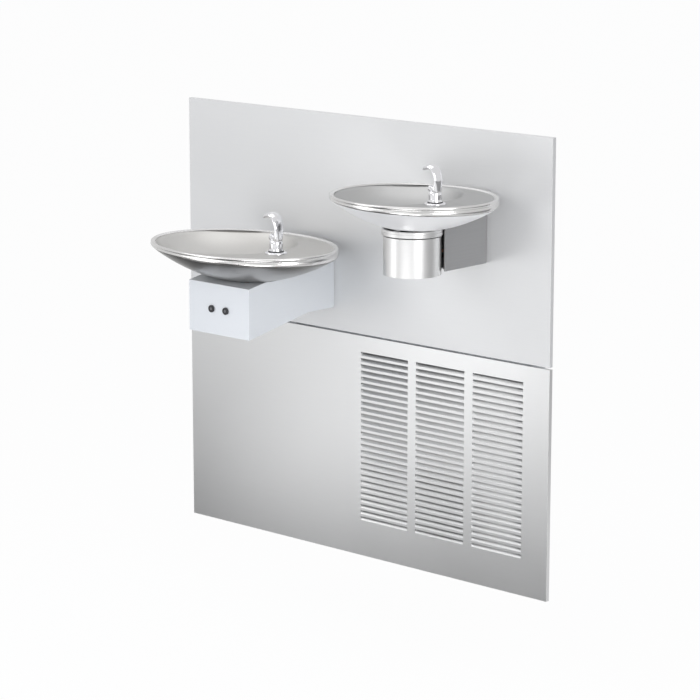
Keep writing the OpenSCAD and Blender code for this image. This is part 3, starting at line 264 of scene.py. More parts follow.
def zinc(name):
    made, tree = blank_material(name)
    out = tree.new("ShaderNodeOutputMaterial")
    shader = tree.new("ShaderNodeBsdfPrincipled")
    place = tree.new("ShaderNodeTexCoord").outputs["Object"]
    crystal = tree.new("ShaderNodeTexVoronoi")
    crystal.inputs["Scale"].default_value = 95
    crystal.inputs["Randomness"].default_value = 1.0
    link(place, crystal.inputs["Vector"])
    tone = tree.new("ShaderNodeSeparateColor")
    link(crystal.outputs["Color"], tone.inputs[0])
    wear = put_group(tree, wear_group, place, Start=0.35, End=0.65)
    cloud = put_group(tree, cloud_group, place, Scale=7.0)
    colour = blend_colour(tree, tone.outputs[0], (0.40, 0.42, 0.44), (0.60, 0.62, 0.64))
    colour = blend_colour(tree, wear.outputs["Mask"], colour, (0.30, 0.31, 0.32))
    link(colour, shader.inputs["Base Color"])
    shader.inputs["Metallic"].default_value = 0.9
    rough = maths(tree, "MULTIPLY_ADD", tone.outputs[1], 0.22)
    rough.node.inputs[2].default_value = 0.33
    haze = maths(tree, "MULTIPLY_ADD", cloud.outputs["Mask"], 0.12)
    link(rough, haze.node.inputs[2])
    link(haze, shader.inputs["Roughness"])
    link(shader.outputs[0], out.inputs["Surface"])
    return made


zinc_sheet = zinc("galvanised_sheet")


LONG_EDGE, LEAST_TURN, LEAST_BEND = 0.45, math.radians(24), math.radians(4)


def mark_rubbed(bm, width):
    """Marks the faces narrower than a width in mm that round off a convex edge."""
    layer = bm.faces.layers.float.new("rubbed")
    for face in bm.faces:
        longest = max(edge.calc_length() for edge in face.edges)
        bends = [edge.calc_face_angle_signed(0) for edge in face.edges
                 if len(edge.link_faces) == 2 and edge.calc_length() > LONG_EDGE * longest]
        narrow = face.calc_area() < width * MM * longest
        face[layer] = float(narrow and sum(bends) > LEAST_TURN and min(bends) > LEAST_BEND)


def piece(name, bm, materials, body, stands_for, smooth=35, rounded=0, rub=1.3):
    """Turns a finished bmesh into a piece at the origin that rides on a body and stands for CAD nodes."""
    bmesh.ops.recalc_face_normals(bm, faces=bm.faces)
    if rub:
        mark_rubbed(bm, rub)
    for face in bm.faces:
        face.smooth = True
    for edge in bm.edges:
        edge.smooth = len(edge.link_faces) == 2 and edge.calc_face_angle(0) < math.radians(smooth)
    mesh = bpy.data.meshes.new(name)
    bm.to_mesh(mesh)
    bm.free()
    made = bpy.data.objects.new(name, mesh)
    bpy.context.scene.collection.objects.link(made)
    for material in materials if isinstance(materials, (list, tuple)) else [materials]:
        mesh.materials.append(material)
    if rounded:
        soft = made.modifiers.new("rounded", "SUBSURF")
        soft.levels = soft.render_levels = rounded
    else:
        even = made.modifiers.new("even_normals", "WEIGHTED_NORMAL")
        even.keep_sharp = True
    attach(made, body)
    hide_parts(*stands_for)
    return made


CAD_SEAM, SHARP, SHEET_BACK = 0.00002, math.radians(40), 1.7


def broken_edges(node, radius, material, body="fountain", segments=2, inside=None):
    """The CAD node's own form, merged, with its sharp edges broken. Inside is painted shade behind a sheet's front.
    """
    bm = bmesh.new()
    bm.from_mesh(nodes[node].data)
    bmesh.ops.remove_doubles(bm, verts=bm.verts, dist=CAD_SEAM)
    bmesh.ops.dissolve_limit(bm, angle_limit=math.radians(0.6), verts=bm.verts, edges=bm.edges,
                             use_dissolve_boundaries=False, delimit=set())
    sharp = [e for e in bm.edges if len(e.link_faces) == 2 and e.calc_face_angle(0) > SHARP]
    bmesh.ops.bevel(bm, geom=sharp, offset=radius * MM, offset_type="OFFSET", segments=segments, profile=0.5,
                    affect="EDGES", material=-1, clamp_overlap=True)
    # Painted shade: faces deeper than the sheet's front take the darker inside material.
    if inside:
        for face in bm.faces:
            face.material_index = int(face.calc_center_median().y > SHEET_BACK * MM)
    piece(node + "_form", bm, [material, inside] if inside else material, body, [node])


for sheet in ("frame_side_left", "frame_side_right", "frame_top_rail", "frame_mid_rail", "frame_bottom_rail",
              "low_backing", "high_backing"):
    broken_edges(sheet, 0.5, zinc_sheet)
dress("panel_clips", zinc_sheet)

# Chiller shelf, fan shroud and compressor
# The shelf and the shroud are folded from the same zinc sheet. The compressor is two deep-drawn steel cups
# welded at a flange round the middle, dipped in black enamel, on four rubber grommets.
for sheet in ("chiller_shelf", "fan_shroud"):
    broken_edges(sheet, 0.4, zinc_sheet)


SEAM = 0.000005


def turned(profile, place=Matrix(), steps=64, closed=False):
    """A profile of (radius, height) points in mm, spun round Z and put in place."""
    bm = bmesh.new()
    points = [bm.verts.new((radius * MM, 0, height * MM)) for radius, height in profile]
    pairs = list(zip(points, points[1:])) + ([(points[-1], points[0])] if closed else [])
    line = [bm.edges.new(pair) for pair in pairs]
    bmesh.ops.spin(bm, geom=points + line, cent=(0, 0, 0), axis=(0, 0, 1), angle=math.tau, steps=steps,
                   use_merge=True)
    bmesh.ops.remove_doubles(bm, verts=bm.verts, dist=SEAM)
    bmesh.ops.transform(bm, matrix=place, verts=bm.verts)
    return bm


def whole_of(*parts):
    """Several closed bmeshes as one."""
    whole = bmesh.new()
    for part in parts:
        mesh = bpy.data.meshes.new("part")
        part.to_mesh(mesh)
        part.free()
        whole.from_mesh(mesh)
        bpy.data.meshes.remove(mesh)
    return whole


def rounded_block(x0, x1, out0, out1, z0, z1, radius, segments=3):
    """A block between two x places, two distances out from the wall and two heights, in mm."""
    bm = bmesh.new()
    size = Matrix.Diagonal(((x1 - x0) * MM, (out1 - out0) * MM, (z1 - z0) * MM, 1))
    middle = Matrix.Translation(((x0 + x1) / 2 * MM, -(out0 + out1) / 2 * MM, (z0 + z1) / 2 * MM))
    bmesh.ops.create_cube(bm, size=1, matrix=middle @ size)
    bmesh.ops.bevel(bm, geom=bm.edges[:], offset=radius * MM, offset_type="OFFSET", segments=segments,
                    profile=0.5, affect="EDGES", material=-1, clamp_overlap=True)
    return bm


def at(x, out, z):
    return Matrix.Translation((x * MM, -out * MM, z * MM))


# Grain: noise drawn out along the brushing, as tone and height
grain_group, grain_in, grain_out = new_group(
    "brushed_grain",
    [("Vector", "Vector", None), ("Stretch", "Vector", (600, 600, 12)), ("Strength", "Float", 1.0)],
    [("Tone", "Float"), ("Height", "Float")])
grain_map = grain_group.nodes.new("ShaderNodeMapping")
grain_noise = grain_group.nodes.new("ShaderNodeTexNoise")
grain_noise.inputs["Scale"].default_value = 1.0
grain_noise.inputs["Detail"].default_value = 4.0
grain_noise.inputs["Roughness"].default_value = 0.7
link(grain_in.outputs["Vector"], grain_map.inputs["Vector"])
link(grain_in.outputs["Stretch"], grain_map.inputs["Scale"])
link(grain_map.outputs[0], grain_noise.inputs["Vector"])
grain_off = maths(grain_group.nodes, "SUBTRACT", grain_noise.outputs["Fac"], 0.5)
grain_amount = maths(grain_group.nodes, "MULTIPLY", grain_off, grain_in.outputs["Strength"])
link(maths(grain_group.nodes, "ADD", grain_amount, 0.5), grain_out.inputs["Tone"])
link(grain_noise.outputs["Fac"], grain_out.inputs["Height"])


def coated(name, dark, light, worn, rough, bump, scale, coat=0.0):
    """Paint, plastic, rubber or foam: a fine skin texture, clouds of dust and rubbed edges."""
    made, tree = blank_material(name)
    out = tree.new("ShaderNodeOutputMaterial")
    shader = tree.new("ShaderNodeBsdfPrincipled")
    place = tree.new("ShaderNodeTexCoord").outputs["Object"]
    skin = put_group(tree, grain_group, place, Stretch=(scale, scale, scale), Strength=1.0)
    wear = put_group(tree, wear_group, place, Start=0.3, End=0.65)
    dust = put_group(tree, cloud_group, place, Scale=14.0)
    colour = blend_colour(tree, dust.outputs["Mask"], dark, light)
    colour = blend_colour(tree, wear.outputs["Mask"], colour, worn)
    link(colour, shader.inputs["Base Color"])
    scatter = maths(tree, "MULTIPLY_ADD", dust.outputs["Mask"], 0.14)
    scatter.node.inputs[2].default_value = rough
    link(scatter, shader.inputs["Roughness"])
    shader.inputs["Coat Weight"].default_value = coat
    raised = tree.new("ShaderNodeBump")
    raised.inputs["Strength"].default_value = bump
    raised.inputs["Distance"].default_value = 0.001
    link(skin.outputs["Height"], raised.inputs["Height"])
    link(raised.outputs[0], shader.inputs["Normal"])
    link(shader.outputs[0], out.inputs["Surface"])
    return made


black_enamel = coated("black_enamel", (0.012, 0.012, 0.013), (0.03, 0.03, 0.032), (0.09, 0.09, 0.095), 0.24, 0.06,
                      500, coat=0.5)
rubber = coated("rubber", (0.016, 0.016, 0.017), (0.04, 0.04, 0.042), (0.06, 0.06, 0.06), 0.62, 0.15, 900)
SHELF_TOP = -403
CAN_X, CHILLER_OUT = 0, -75
CAN_Z, CAN_R = SHELF_TOP + 15.1, 58
GROMMET_H, PLATE_TOP, PLATE_OUT = 12, 15.5, 34.8
FEET_X, FEET_OUT = 46, 23.8
can = turned([(0, 0), (40, 0), (46.4, 0.8), (52, 4), (55.7, 9), (57.4, 15), (58, 21), (58, 71), (58.3, 72.6),
              (59.7, 73.4), (59.9, 76.5), (59.7, 79.6), (58.3, 80.4), (58, 82), (58, 116), (57, 125), (54.4, 134),
              (49, 141.5), (41, 146.3), (30, 149), (15, 149.9), (0, 150)], at(CAN_X, CHILLER_OUT, CAN_Z), 80)
foot_plate = rounded_block(CAN_X - CAN_R, CAN_X + CAN_R, CHILLER_OUT - PLATE_OUT, CHILLER_OUT + PLATE_OUT,
                           SHELF_TOP + GROMMET_H, SHELF_TOP + PLATE_TOP, 1.2)
piece("compressor_can", whole_of(can, foot_plate), black_enamel, "fountain", ["compressor"])
GROMMET = [(0, 0), (8.2, 0), (9, 0.8), (9, 3.6), (7.4, 4.6), (7.4, 7.4), (9, 8.4), (9, 11.2), (8.2, 12), (0, 12)]
feet = [turned(GROMMET, at(CAN_X + side * FEET_X, CHILLER_OUT + end * FEET_OUT, SHELF_TOP), 32)
        for side in (-1, 1) for end in (-1, 1)]
piece("compressor_grommets", whole_of(*feet), rubber, "fountain", ["compressor_feet"])

# Condenser
# Thin aluminium fins pressed on five passes of copper tube, whose return bends stand out at both sides. The
# block stands on the shelf, between the louvres and the fan.


def metal(name, dark, light, worn, rough, stretch, strength=1.0, bump=0.02, clouds=9.0, cloud_rough=0.05,
          metallic=1.0, start=0.25, end=0.6, edge_tint=None):
    """Metal with a drawn-out grain, rubbed edges and wiped clouds."""
    made, tree = blank_material(name)
    out = tree.new("ShaderNodeOutputMaterial")
    shader = tree.new("ShaderNodeBsdfPrincipled")
    place = tree.new("ShaderNodeTexCoord").outputs["Object"]
    grain = put_group(tree, grain_group, place, Stretch=stretch, Strength=strength)
    wear = put_group(tree, wear_group, place, Start=start, End=end)
    cloud = put_group(tree, cloud_group, place, Scale=clouds)
    colour = blend_colour(tree, grain.outputs["Tone"], dark, light)
    colour = blend_colour(tree, wear.outputs["Mask"], colour, worn)
    link(colour, shader.inputs["Base Color"])
    shader.inputs["Metallic"].default_value = metallic
    if edge_tint:
        shader.inputs["Specular Tint"].default_value = (*edge_tint, 1)
    scatter = maths(tree, "MULTIPLY_ADD", grain.outputs["Tone"], 0.12)
    scatter.node.inputs[2].default_value = rough - 0.06
    haze = maths(tree, "MULTIPLY_ADD", cloud.outputs["Mask"], cloud_rough)
    link(scatter, haze.node.inputs[2])
    link(haze, shader.inputs["Roughness"])
    raised = tree.new("ShaderNodeBump")
    raised.inputs["Strength"].default_value = bump
    raised.inputs["Distance"].default_value = 0.001
    link(grain.outputs["Height"], raised.inputs["Height"])
    link(raised.outputs[0], shader.inputs["Normal"])
    link(shader.outputs[0], out.inputs["Surface"])
    return made


fin_alloy = metal("fin_alloy", (0.56, 0.57, 0.58), (0.72, 0.73, 0.74), (0.8, 0.8, 0.8), 0.38, (60, 60, 600),
                  bump=0.02, clouds=18)
copper = metal("copper_tube", (0.52, 0.24, 0.13), (0.72, 0.38, 0.24), (0.80, 0.48, 0.33), 0.28, (160, 160, 160),
               bump=0.02, clouds=30, cloud_rough=0.16)
COIL_X, COIL_OUT, COIL_W, COIL_D, COIL_H = 200, -32, 160, 40, 160
FINS, FIN_T = 54, 0.5
PASSES, BEND_X, BEND_R = 5, 86, 15.9


def pipe_run(points, radius, bend, sides=20):
    """A tube through points in mm as (x, out, z), straight between bends of one radius."""
    stops = [Vector((x * MM, -out * MM, z * MM)) for x, out, z in points]
    bm = bmesh.new()
    heading = (stops[1] - stops[0]).normalized()
    start = Matrix.Translation(stops[0]) @ heading.to_track_quat("Z", "Y").to_matrix().to_4x4()
    bmesh.ops.create_circle(bm, cap_ends=True, cap_tris=False, radius=radius * MM, segments=sides, matrix=start)
    loop = bm.edges[:]
    here = stops[0].copy()
    for index in range(1, len(stops)):
        heading = (stops[index] - stops[index - 1]).normalized()
        last = index == len(stops) - 1
        turn = None if last else (stops[index + 1] - stops[index]).normalized()
        tangent = 0 if last else bend * MM * math.tan(heading.angle(turn) / 2)
        end = stops[index] - heading * tangent
        grown = bmesh.ops.extrude_edge_only(bm, edges=loop)["geom"]
        verts = [g for g in grown if isinstance(g, bmesh.types.BMVert)]
        loop = [g for g in grown if isinstance(g, bmesh.types.BMEdge) and all(v in verts for v in g.verts)]
        bmesh.ops.translate(bm, vec=end - here, verts=verts)
        if not last:
            side = (turn - heading * heading.dot(turn)).normalized()
            centre = end + side * bend * MM
            swept = bmesh.ops.spin(bm, geom=verts + loop, cent=centre, axis=heading.cross(turn).normalized(),
                                   angle=heading.angle(turn), steps=8, use_merge=False)["geom_last"]
            loop = [g for g in swept if isinstance(g, bmesh.types.BMEdge)]
            end = stops[index] + turn * tangent
        here = end
    bmesh.ops.contextual_create(bm, geom=loop)
    bmesh.ops.remove_doubles(bm, verts=bm.verts, dist=SEAM)
    return bm


fin_step = COIL_W / (FINS - 1)
fins = []
for i in range(FINS):
    fin_x = COIL_X - COIL_W / 2 + i * fin_step
    fins.append(rounded_block(fin_x - FIN_T / 2, fin_x + FIN_T / 2, COIL_OUT - COIL_D / 2, COIL_OUT + COIL_D / 2,
                              SHELF_TOP, SHELF_TOP + COIL_H, 0.1, 1))
piece("condenser_fins", whole_of(*fins), fin_alloy, "fountain", ["condenser"])
levels = [SHELF_TOP + COIL_H * (i + 0.5) / PASSES for i in range(PASSES)]
route = [(COIL_X - BEND_X, COIL_OUT, levels[0])]
for i in range(PASSES - 1):
    far = COIL_X + (-1) ** i * (BEND_X + COIL_H / PASSES / 2)
    route += [(far, COIL_OUT, levels[i]), (far, COIL_OUT, levels[i + 1])]
route.append((COIL_X + BEND_X, COIL_OUT, levels[-1]))
piece("condenser_coil", pipe_run(route, 4.5, BEND_R, 16), copper, "fountain", ["condenser"])

# Fan and its motor
# Five pressed aluminium blades on a turned hub, drawing air in through the louvres and the condenser. The
# motor is a closed can in dark enamel with rounded end bells, held by the shelf's bracket.
fan_alloy = metal("fan_alloy", (0.58, 0.59, 0.60), (0.72, 0.73, 0.74), (0.82, 0.82, 0.82), 0.34, (240, 240, 240),
                  bump=0.03, clouds=24)
motor_enamel = coated("motor_enamel", (0.03, 0.032, 0.036), (0.06, 0.062, 0.068), (0.16, 0.16, 0.17), 0.36, 0.1,
                      700)
FAN_OUT, FAN_Z = -66.5, SHELF_TOP + 80
MOTOR_OUT = -79.5
FAN_BLADES, BLADE_T = 5, 1.2
BLADE_ROOT, BLADE_SPAN, BLADE_SWEEP = 11, 54, 5
CHORD_ROOT, CHORD_SWELL, TIP_TAPER = 17, 22, 0.25
PITCH_ROOT, PITCH_FALL, CAMBER = 38, 16, 3.2


def facing_out(x, out, z):
    """A place whose Z axis runs out from the wall."""
    return at(x, out, z) @ Matrix.Rotation(math.radians(90), 4, "X")


def fan_wheel():
    blade = bmesh.new()
    bmesh.ops.create_grid(blade, x_segments=10, y_segments=8, size=0.5)
    for vert in blade.verts:
        along, across = vert.co.x + 0.5, vert.co.y
        reach = BLADE_ROOT + BLADE_SPAN * along
        swell = CHORD_SWELL * math.sin(math.pi * min(1, 0.15 + 0.72 * along))
        taper = 1 - TIP_TAPER * max(0, along - 0.8) / 0.2
        chord = across * (CHORD_ROOT + swell) * taper
        angle = math.radians(PITCH_ROOT - PITCH_FALL * along)
        arch = CAMBER * (1 - 4 * across * across)
        sideways = chord * math.cos(angle) - BLADE_SWEEP * along
        vert.co = Vector((reach, sideways, chord * math.sin(angle) + arch)) * MM
    bmesh.ops.solidify(blade, geom=blade.faces[:], thickness=BLADE_T * MM)
    bmesh.ops.spin(blade, geom=blade.verts[:] + blade.edges[:] + blade.faces[:], cent=(0, 0, 0), axis=(0, 0, 1),
                   angle=math.tau * (1 - 1 / FAN_BLADES), steps=FAN_BLADES - 1, use_duplicate=True)
    hub = turned([(4.05, -9), (13, -9), (14, -8), (14, 8), (13.2, 9), (9, 9), (8, 6.5), (4.05, 6.5)], closed=True)
    wheel = whole_of(blade, hub)
    bmesh.ops.transform(wheel, matrix=facing_out(COIL_X, FAN_OUT, FAN_Z), verts=wheel.verts)
    return wheel


piece("fan_wheel", fan_wheel(), fan_alloy, "fan", ["fan_blade"])
motor = turned([(0, -46), (20, -46), (26, -44.5), (29, -41), (30, -37), (30, -26), (29.4, -25), (29.4, -21),
                (30, -20), (30, -9), (29, -5), (26, -1.5), (20, 0), (9, 0), (9, 3), (7, 4.5), (4, 4.5), (4, 17.4),
                (3.4, 18), (0, 18)], facing_out(COIL_X, MOTOR_OUT, FAN_Z), 56)
piece("motor_can", motor, motor_enamel, "fountain", ["fan_motor"])

# Cooling tank
# A stainless tank inside a moulded jacket of grey foam, closed by a seam round its shoulder. It stands on the
# shelf beside the compressor.
jacket_foam = coated("jacket_foam", (0.46, 0.48, 0.50), (0.58, 0.60, 0.62), (0.68, 0.70, 0.72), 0.7, 0.35, 330)
TANK_X = -125
jacket = turned([(0, 0), (47, 0), (50.5, 1.2), (52, 4), (52, 121), (51, 122), (51, 124), (52, 125), (52, 160),
                 (50.6, 165.5), (46.5, 169), (40, 170), (16, 170), (15, 169), (0, 169)],
                at(TANK_X, CHILLER_OUT, SHELF_TOP), 72)
piece("tank_jacket", jacket, jacket_foam, "fountain", ["cooling_tank"])

# Copper lines
# Soft copper tube of 1/4 in, bent by hand: cold water from the stop valve to the tank and on to both units,
# and the refrigerant's way from the compressor through the condenser to the tank.
TUBE_R = 3.2
WALL_END = -30
WATER_OUT, INLET_X, INLET_Z = -89.95, -320, -284
TANK_IN_X, TANK_OUT_X, TANK_TOP = TANK_X - 25, TANK_X + 25, -233
FEED_Z, BRANCH_Z, CUFF_Z = -183, -163, -225
HIGH_X = 272
LOW_TAP_Z, HIGH_TAP_X, HIGH_TAP_Z = 88, HIGH_X + 8, 214.5
water_routes = [
    [(INLET_X, WATER_OUT, INLET_Z), (INLET_X, WATER_OUT, FEED_Z), (TANK_IN_X, WATER_OUT, FEED_Z),
     (TANK_IN_X, WATER_OUT, TANK_TOP)],
    [(TANK_OUT_X, WATER_OUT, TANK_TOP), (TANK_OUT_X, WATER_OUT, LOW_TAP_Z), (TANK_OUT_X, WALL_END, LOW_TAP_Z)],
    [(TANK_OUT_X, WATER_OUT, BRANCH_Z), (HIGH_TAP_X, WATER_OUT, BRANCH_Z), (HIGH_TAP_X, WATER_OUT, HIGH_TAP_Z),
     (HIGH_TAP_X, WALL_END, HIGH_TAP_Z)]]
water = [pipe_run(stops, TUBE_R, 16) for stops in water_routes]
CUFF = [(3.3, -8), (4.6, -8), (5, -7.4), (5, 7.4), (4.6, 8), (3.3, 8)]
cuffs = [turned(CUFF, at(x, WATER_OUT, z), 24, closed=True)
         for x, z in ((TANK_OUT_X, BRANCH_Z), (TANK_IN_X, CUFF_Z), (TANK_OUT_X, CUFF_Z))]
piece("water_tubes", whole_of(*water, *cuffs), copper, "fountain", ["water_lines"])
CAN_OUT_X, CAN_TOP = 29, -239
COIL_IN_X, COIL_BACK_X, COIL_TOP = COIL_X - 53.3, COIL_X + 53.3, -243
HOT_Z, RETURN_Z = -219, -209
gas_routes = [
    [(CAN_OUT_X, CHILLER_OUT, CAN_TOP), (CAN_OUT_X, CHILLER_OUT, HOT_Z), (COIL_IN_X, CHILLER_OUT, HOT_Z),
     (COIL_IN_X, COIL_OUT, HOT_Z), (COIL_IN_X, COIL_OUT, COIL_TOP)],
    [(COIL_BACK_X, COIL_OUT, COIL_TOP), (COIL_BACK_X, COIL_OUT, RETURN_Z), (TANK_X, COIL_OUT, RETURN_Z),
     (TANK_X, CHILLER_OUT, RETURN_Z), (TANK_X, CHILLER_OUT, TANK_TOP)]]
gas = [pipe_run(stops, TUBE_R, 12) for stops in gas_routes]
piece("refrigerant_tubes", whole_of(*gas), copper, "fountain", ["refrigerant_lines"])
for tube in ("low_supply", "high_supply"):
    dress(tube, copper)

# Waste pipes and trap
# Black moulded pipe of 1-1/4 in with swept bends. Slip nuts close the joints, and one trap serves both bowls.
# Its plain end runs back into the wall.
pipe_black = coated("pipe_black", (0.018, 0.018, 0.02), (0.045, 0.045, 0.048), (0.09, 0.09, 0.09), 0.42, 0.1, 260)
WASTE_R, WASTE_BEND, WASTE_OUT = 15.875, 30, -65.875
HIGH_DRAIN_X, HIGH_DRAIN_Z = 260.1, 231.4
LOW_DRAIN_X, LOW_DRAIN_Z = -167.84, 84
MAIN_Z, TRAP_Z, OUTLET_Z = -70, -194, -120
TRAP_X = -227.84
OUTLET_X, OUTLET_END = TRAP_X - 68, -141.875
drain_routes = [
    [(HIGH_DRAIN_X, WALL_END, HIGH_DRAIN_Z), (HIGH_DRAIN_X, WASTE_OUT, HIGH_DRAIN_Z),
     (HIGH_DRAIN_X, WASTE_OUT, MAIN_Z), (TRAP_X, WASTE_OUT, MAIN_Z), (TRAP_X, WASTE_OUT, TRAP_Z),
     (OUTLET_X, WASTE_OUT, TRAP_Z), (OUTLET_X, WASTE_OUT, OUTLET_Z), (OUTLET_X, OUTLET_END, OUTLET_Z)],
    [(LOW_DRAIN_X, WALL_END, LOW_DRAIN_Z), (LOW_DRAIN_X, WASTE_OUT, LOW_DRAIN_Z),
     (LOW_DRAIN_X, WASTE_OUT, MAIN_Z)]]
drain = [pipe_run(stops, WASTE_R, WASTE_BEND, 28) for stops in drain_routes]
NUT = [(15.9, -11), (19.4, -11), (20.8, -9.5), (20.8, 4), (20, 5), (18.2, 10), (17.2, 11), (15.9, 11)]
nuts = [turned(NUT, at(x, WASTE_OUT, z), 12, closed=True) for x, z in (
    (HIGH_DRAIN_X, 170), (HIGH_DRAIN_X, -20), (LOW_DRAIN_X, 30), (TRAP_X, -120), (OUTLET_X, -160))]
nuts.append(turned([(15.9, 0), (20, 0), (21, 1), (21, 19), (20, 20), (15.9, 20)],
                   facing_out(OUTLET_X, OUTLET_END + 40, OUTLET_Z), 12, closed=True))
piece("drain_pipes", whole_of(*drain, *nuts), pipe_black, "fountain", ["waste_line"])
for elbow in ("low_waste", "high_waste"):
    dress(elbow, pipe_black)

# Stop valve
# A forged brass quarter-turn valve under the cold line, where the building's water comes in. Its steel lever
# is dipped in red vinyl.
brass = metal("cast_brass", (0.48, 0.33, 0.13), (0.66, 0.48, 0.22), (0.78, 0.62, 0.34), 0.32, (220, 220, 220),
              bump=0.06, clouds=30, cloud_rough=0.12)
red_vinyl = coated("red_vinyl", (0.34, 0.018, 0.014), (0.44, 0.03, 0.024), (0.55, 0.08, 0.06), 0.34, 0.08, 400,
                   coat=0.2)
broken_edges("stop_valve", 0.8, brass, segments=3)
broken_edges("stop_lever", 0.8, red_vinyl, "stop_lever", segments=3)

# Trim panels
# Two stainless sheets with folded edges, brushed from side to side, the lower one with three columns of louvres
# lanced and pressed inwards. The folds are rubbed bright. The hollows and returns are painted a darker grey:
# painted shade.
brushed_panel = metal("brushed_panel", (0.70, 0.705, 0.71), (0.76, 0.765, 0.77), (0.92, 0.92, 0.92), 0.48,
                      (14, 14, 900), strength=0.8, bump=0.006, clouds=3.0, cloud_rough=0.04, metallic=0.7)
lower_sheet = metal("lower_sheet", (0.76, 0.765, 0.77), (0.82, 0.825, 0.83), (0.93, 0.93, 0.93), 0.40,
                    (14, 14, 900), strength=0.8, bump=0.006, clouds=3.0, cloud_rough=0.04)
# Painted shade: a darker grey for the louvres' hollows and the sheets' side returns, where shade falls.
painted_inner_shade = metal("painted_inner_shade", (0.20, 0.20, 0.20), (0.32, 0.32, 0.32), (0.60, 0.60, 0.60), 0.5,
                     (260, 260, 700), strength=1.4, bump=0.03, clouds=30.0, cloud_rough=0.1, metallic=0.2)
broken_edges("upper_panel", 0.7, brushed_panel, inside=painted_inner_shade)
broken_edges("lower_panel", 0.35, lower_sheet, segments=1, inside=painted_inner_shade)

# Arms and their wall plates
# Each arm is a box folded and welded from 2 mm stainless, satin finished along its length, and bolted through
# its rear flange and a 4 mm wall plate. The low one is paler, with a loose cover underneath.
pale_satin = metal("pale_satin", (0.66, 0.685, 0.715), (0.71, 0.735, 0.765), (0.92, 0.92, 0.93), 0.42,
                   (500, 10, 500), strength=0.8, bump=0.005, clouds=6.0, cloud_rough=0.05, metallic=0.3)
grey_satin = metal("grey_satin", (0.26, 0.26, 0.263), (0.32, 0.32, 0.323), (0.85, 0.85, 0.85), 0.40,
                   (500, 10, 500), strength=0.8, bump=0.005, clouds=6.0, cloud_rough=0.05, metallic=0.6)
broken_edges("low_arm_plate", 0.6, pale_satin)
broken_edges("low_arm", 0.9, pale_satin, segments=3)
broken_edges("low_arm_cover", 0.5, pale_satin)
broken_edges("high_arm_plate", 0.6, grey_satin)
broken_edges("high_arm", 0.8, grey_satin, segments=3)

# Arm bolts
# Zinc-plated M8 hexagon bolts with washers inside the arms' rear flanges. Their nuts lie behind the backing
# plates, in the wall.
bolt_steel = metal("bolt_steel", (0.42, 0.42, 0.43), (0.58, 0.58, 0.60), (0.8, 0.8, 0.8), 0.32, (200, 200, 200),
                   bump=0.05, clouds=30)
HEX = [(0, 0), (6.2, 0), (6.9, 0.7), (6.9, 4.3), (6.2, 5), (0, 5)]
LOW_X = -153
BOLTS = [(LOW_X + side * 73, z) for side in (-1, 1) for z in (58, 138)]
BOLTS += [(HIGH_X + side * 45.5, z) for side in (-1, 1) for z in (196, 272)]
bolts = []
for bolt_x, bolt_z in BOLTS:
    bolts += [turned(HEX, facing_out(bolt_x, 15.9, bolt_z), 6),
              turned([(0, 0), (7, 0), (7, 0.9), (0, 0.9)], facing_out(bolt_x, 15, bolt_z), 40),
              turned([(0, -3), (3.4, -3), (4, -2.4), (4, 15), (0, 15)], facing_out(bolt_x, 0, bolt_z), 32),
              turned(HEX, facing_out(bolt_x, -1.5, bolt_z), 6)]
piece("arm_fasteners", whole_of(*bolts), bolt_steel, "fountain", ["arm_bolts"])

# Sensor and solenoid valve
# Two black acrylic windows in round holes of the low arm's front, in front of a moulded sensor box. The box
# opens the solenoid valve, a brass body with a wound coil, which is screwed to the arm's right side.
lens_black = coated("lens_black", (0.010, 0.010, 0.012), (0.022, 0.022, 0.026), (0.05, 0.05, 0.055), 0.35, 0.0, 300)
lens_grey = coated("lens_grey", (0.10, 0.10, 0.11), (0.16, 0.16, 0.17), (0.2, 0.2, 0.2), 0.4, 0.0, 300)
moulded_black = coated("moulded_black", (0.02, 0.02, 0.022), (0.045, 0.045, 0.05), (0.10, 0.10, 0.10), 0.5, 0.2,
                       800)
EYES = (LOW_X - 19.5, LOW_X + 19.5)
EYE_OUT, EYE_Z = 251, 67
windows = [turned([(0, 4), (7.2, 4), (7.2, 9.2), (6.9, 9.5), (3.6, 9.5), (3.4, 8.9), (0, 8.9)],
                  facing_out(eye, EYE_OUT, EYE_Z), 48) for eye in EYES]
piece("sensor_windows", whole_of(*windows), lens_black, "fountain", ["sensor_lenses"])
receivers = [turned([(0, 8.9), (2.7, 8.9), (2.7, 9.25), (2.2, 9.5), (0, 9.6)], facing_out(eye, EYE_OUT, EYE_Z), 32)
             for eye in EYES]
piece("sensor_receivers", whole_of(*receivers), lens_grey, "fountain", ["sensor_lenses"])
broken_edges("sensor_module", 1.5, moulded_black, segments=3)
broken_edges("solenoid_valve", 1.2, brass, segments=3)

# Bowls
# Each bowl is one deep-drawn stainless sheet: drain seat, floor, off-centre basin, flat deck and a rolled rim.
# A second spun skin closes it underneath. The sheet is satin inside and below, and polished on the rim.
warm_bowl = metal("warm_bowl", (0.58, 0.57, 0.555), (0.66, 0.65, 0.635), (0.84, 0.83, 0.82), 0.42,
                  (260, 260, 260), strength=0.7, bump=0.01, clouds=8.0, cloud_rough=0.06, edge_tint=(0.7, 0.7, 0.7))
grey_bowl = metal("grey_bowl", (0.48, 0.48, 0.48), (0.55, 0.55, 0.55), (0.84, 0.84, 0.84), 0.42,
                  (260, 260, 260), strength=0.7, bump=0.01, clouds=8.0, cloud_rough=0.06, edge_tint=(0.7, 0.7, 0.7))
rim_polish = metal("rim_polish", (0.66, 0.655, 0.65), (0.74, 0.735, 0.73), (0.92, 0.92, 0.92), 0.2,
                   (120, 120, 120), strength=0.5, bump=0.003, clouds=10.0, cloud_rough=0.05)
warm_skin = metal("warm_skin", (0.50, 0.49, 0.48), (0.58, 0.57, 0.56), (0.86, 0.86, 0.86), 0.28,
                  (30, 30, 700), strength=0.6, bump=0.004, clouds=7.0, cloud_rough=0.05)
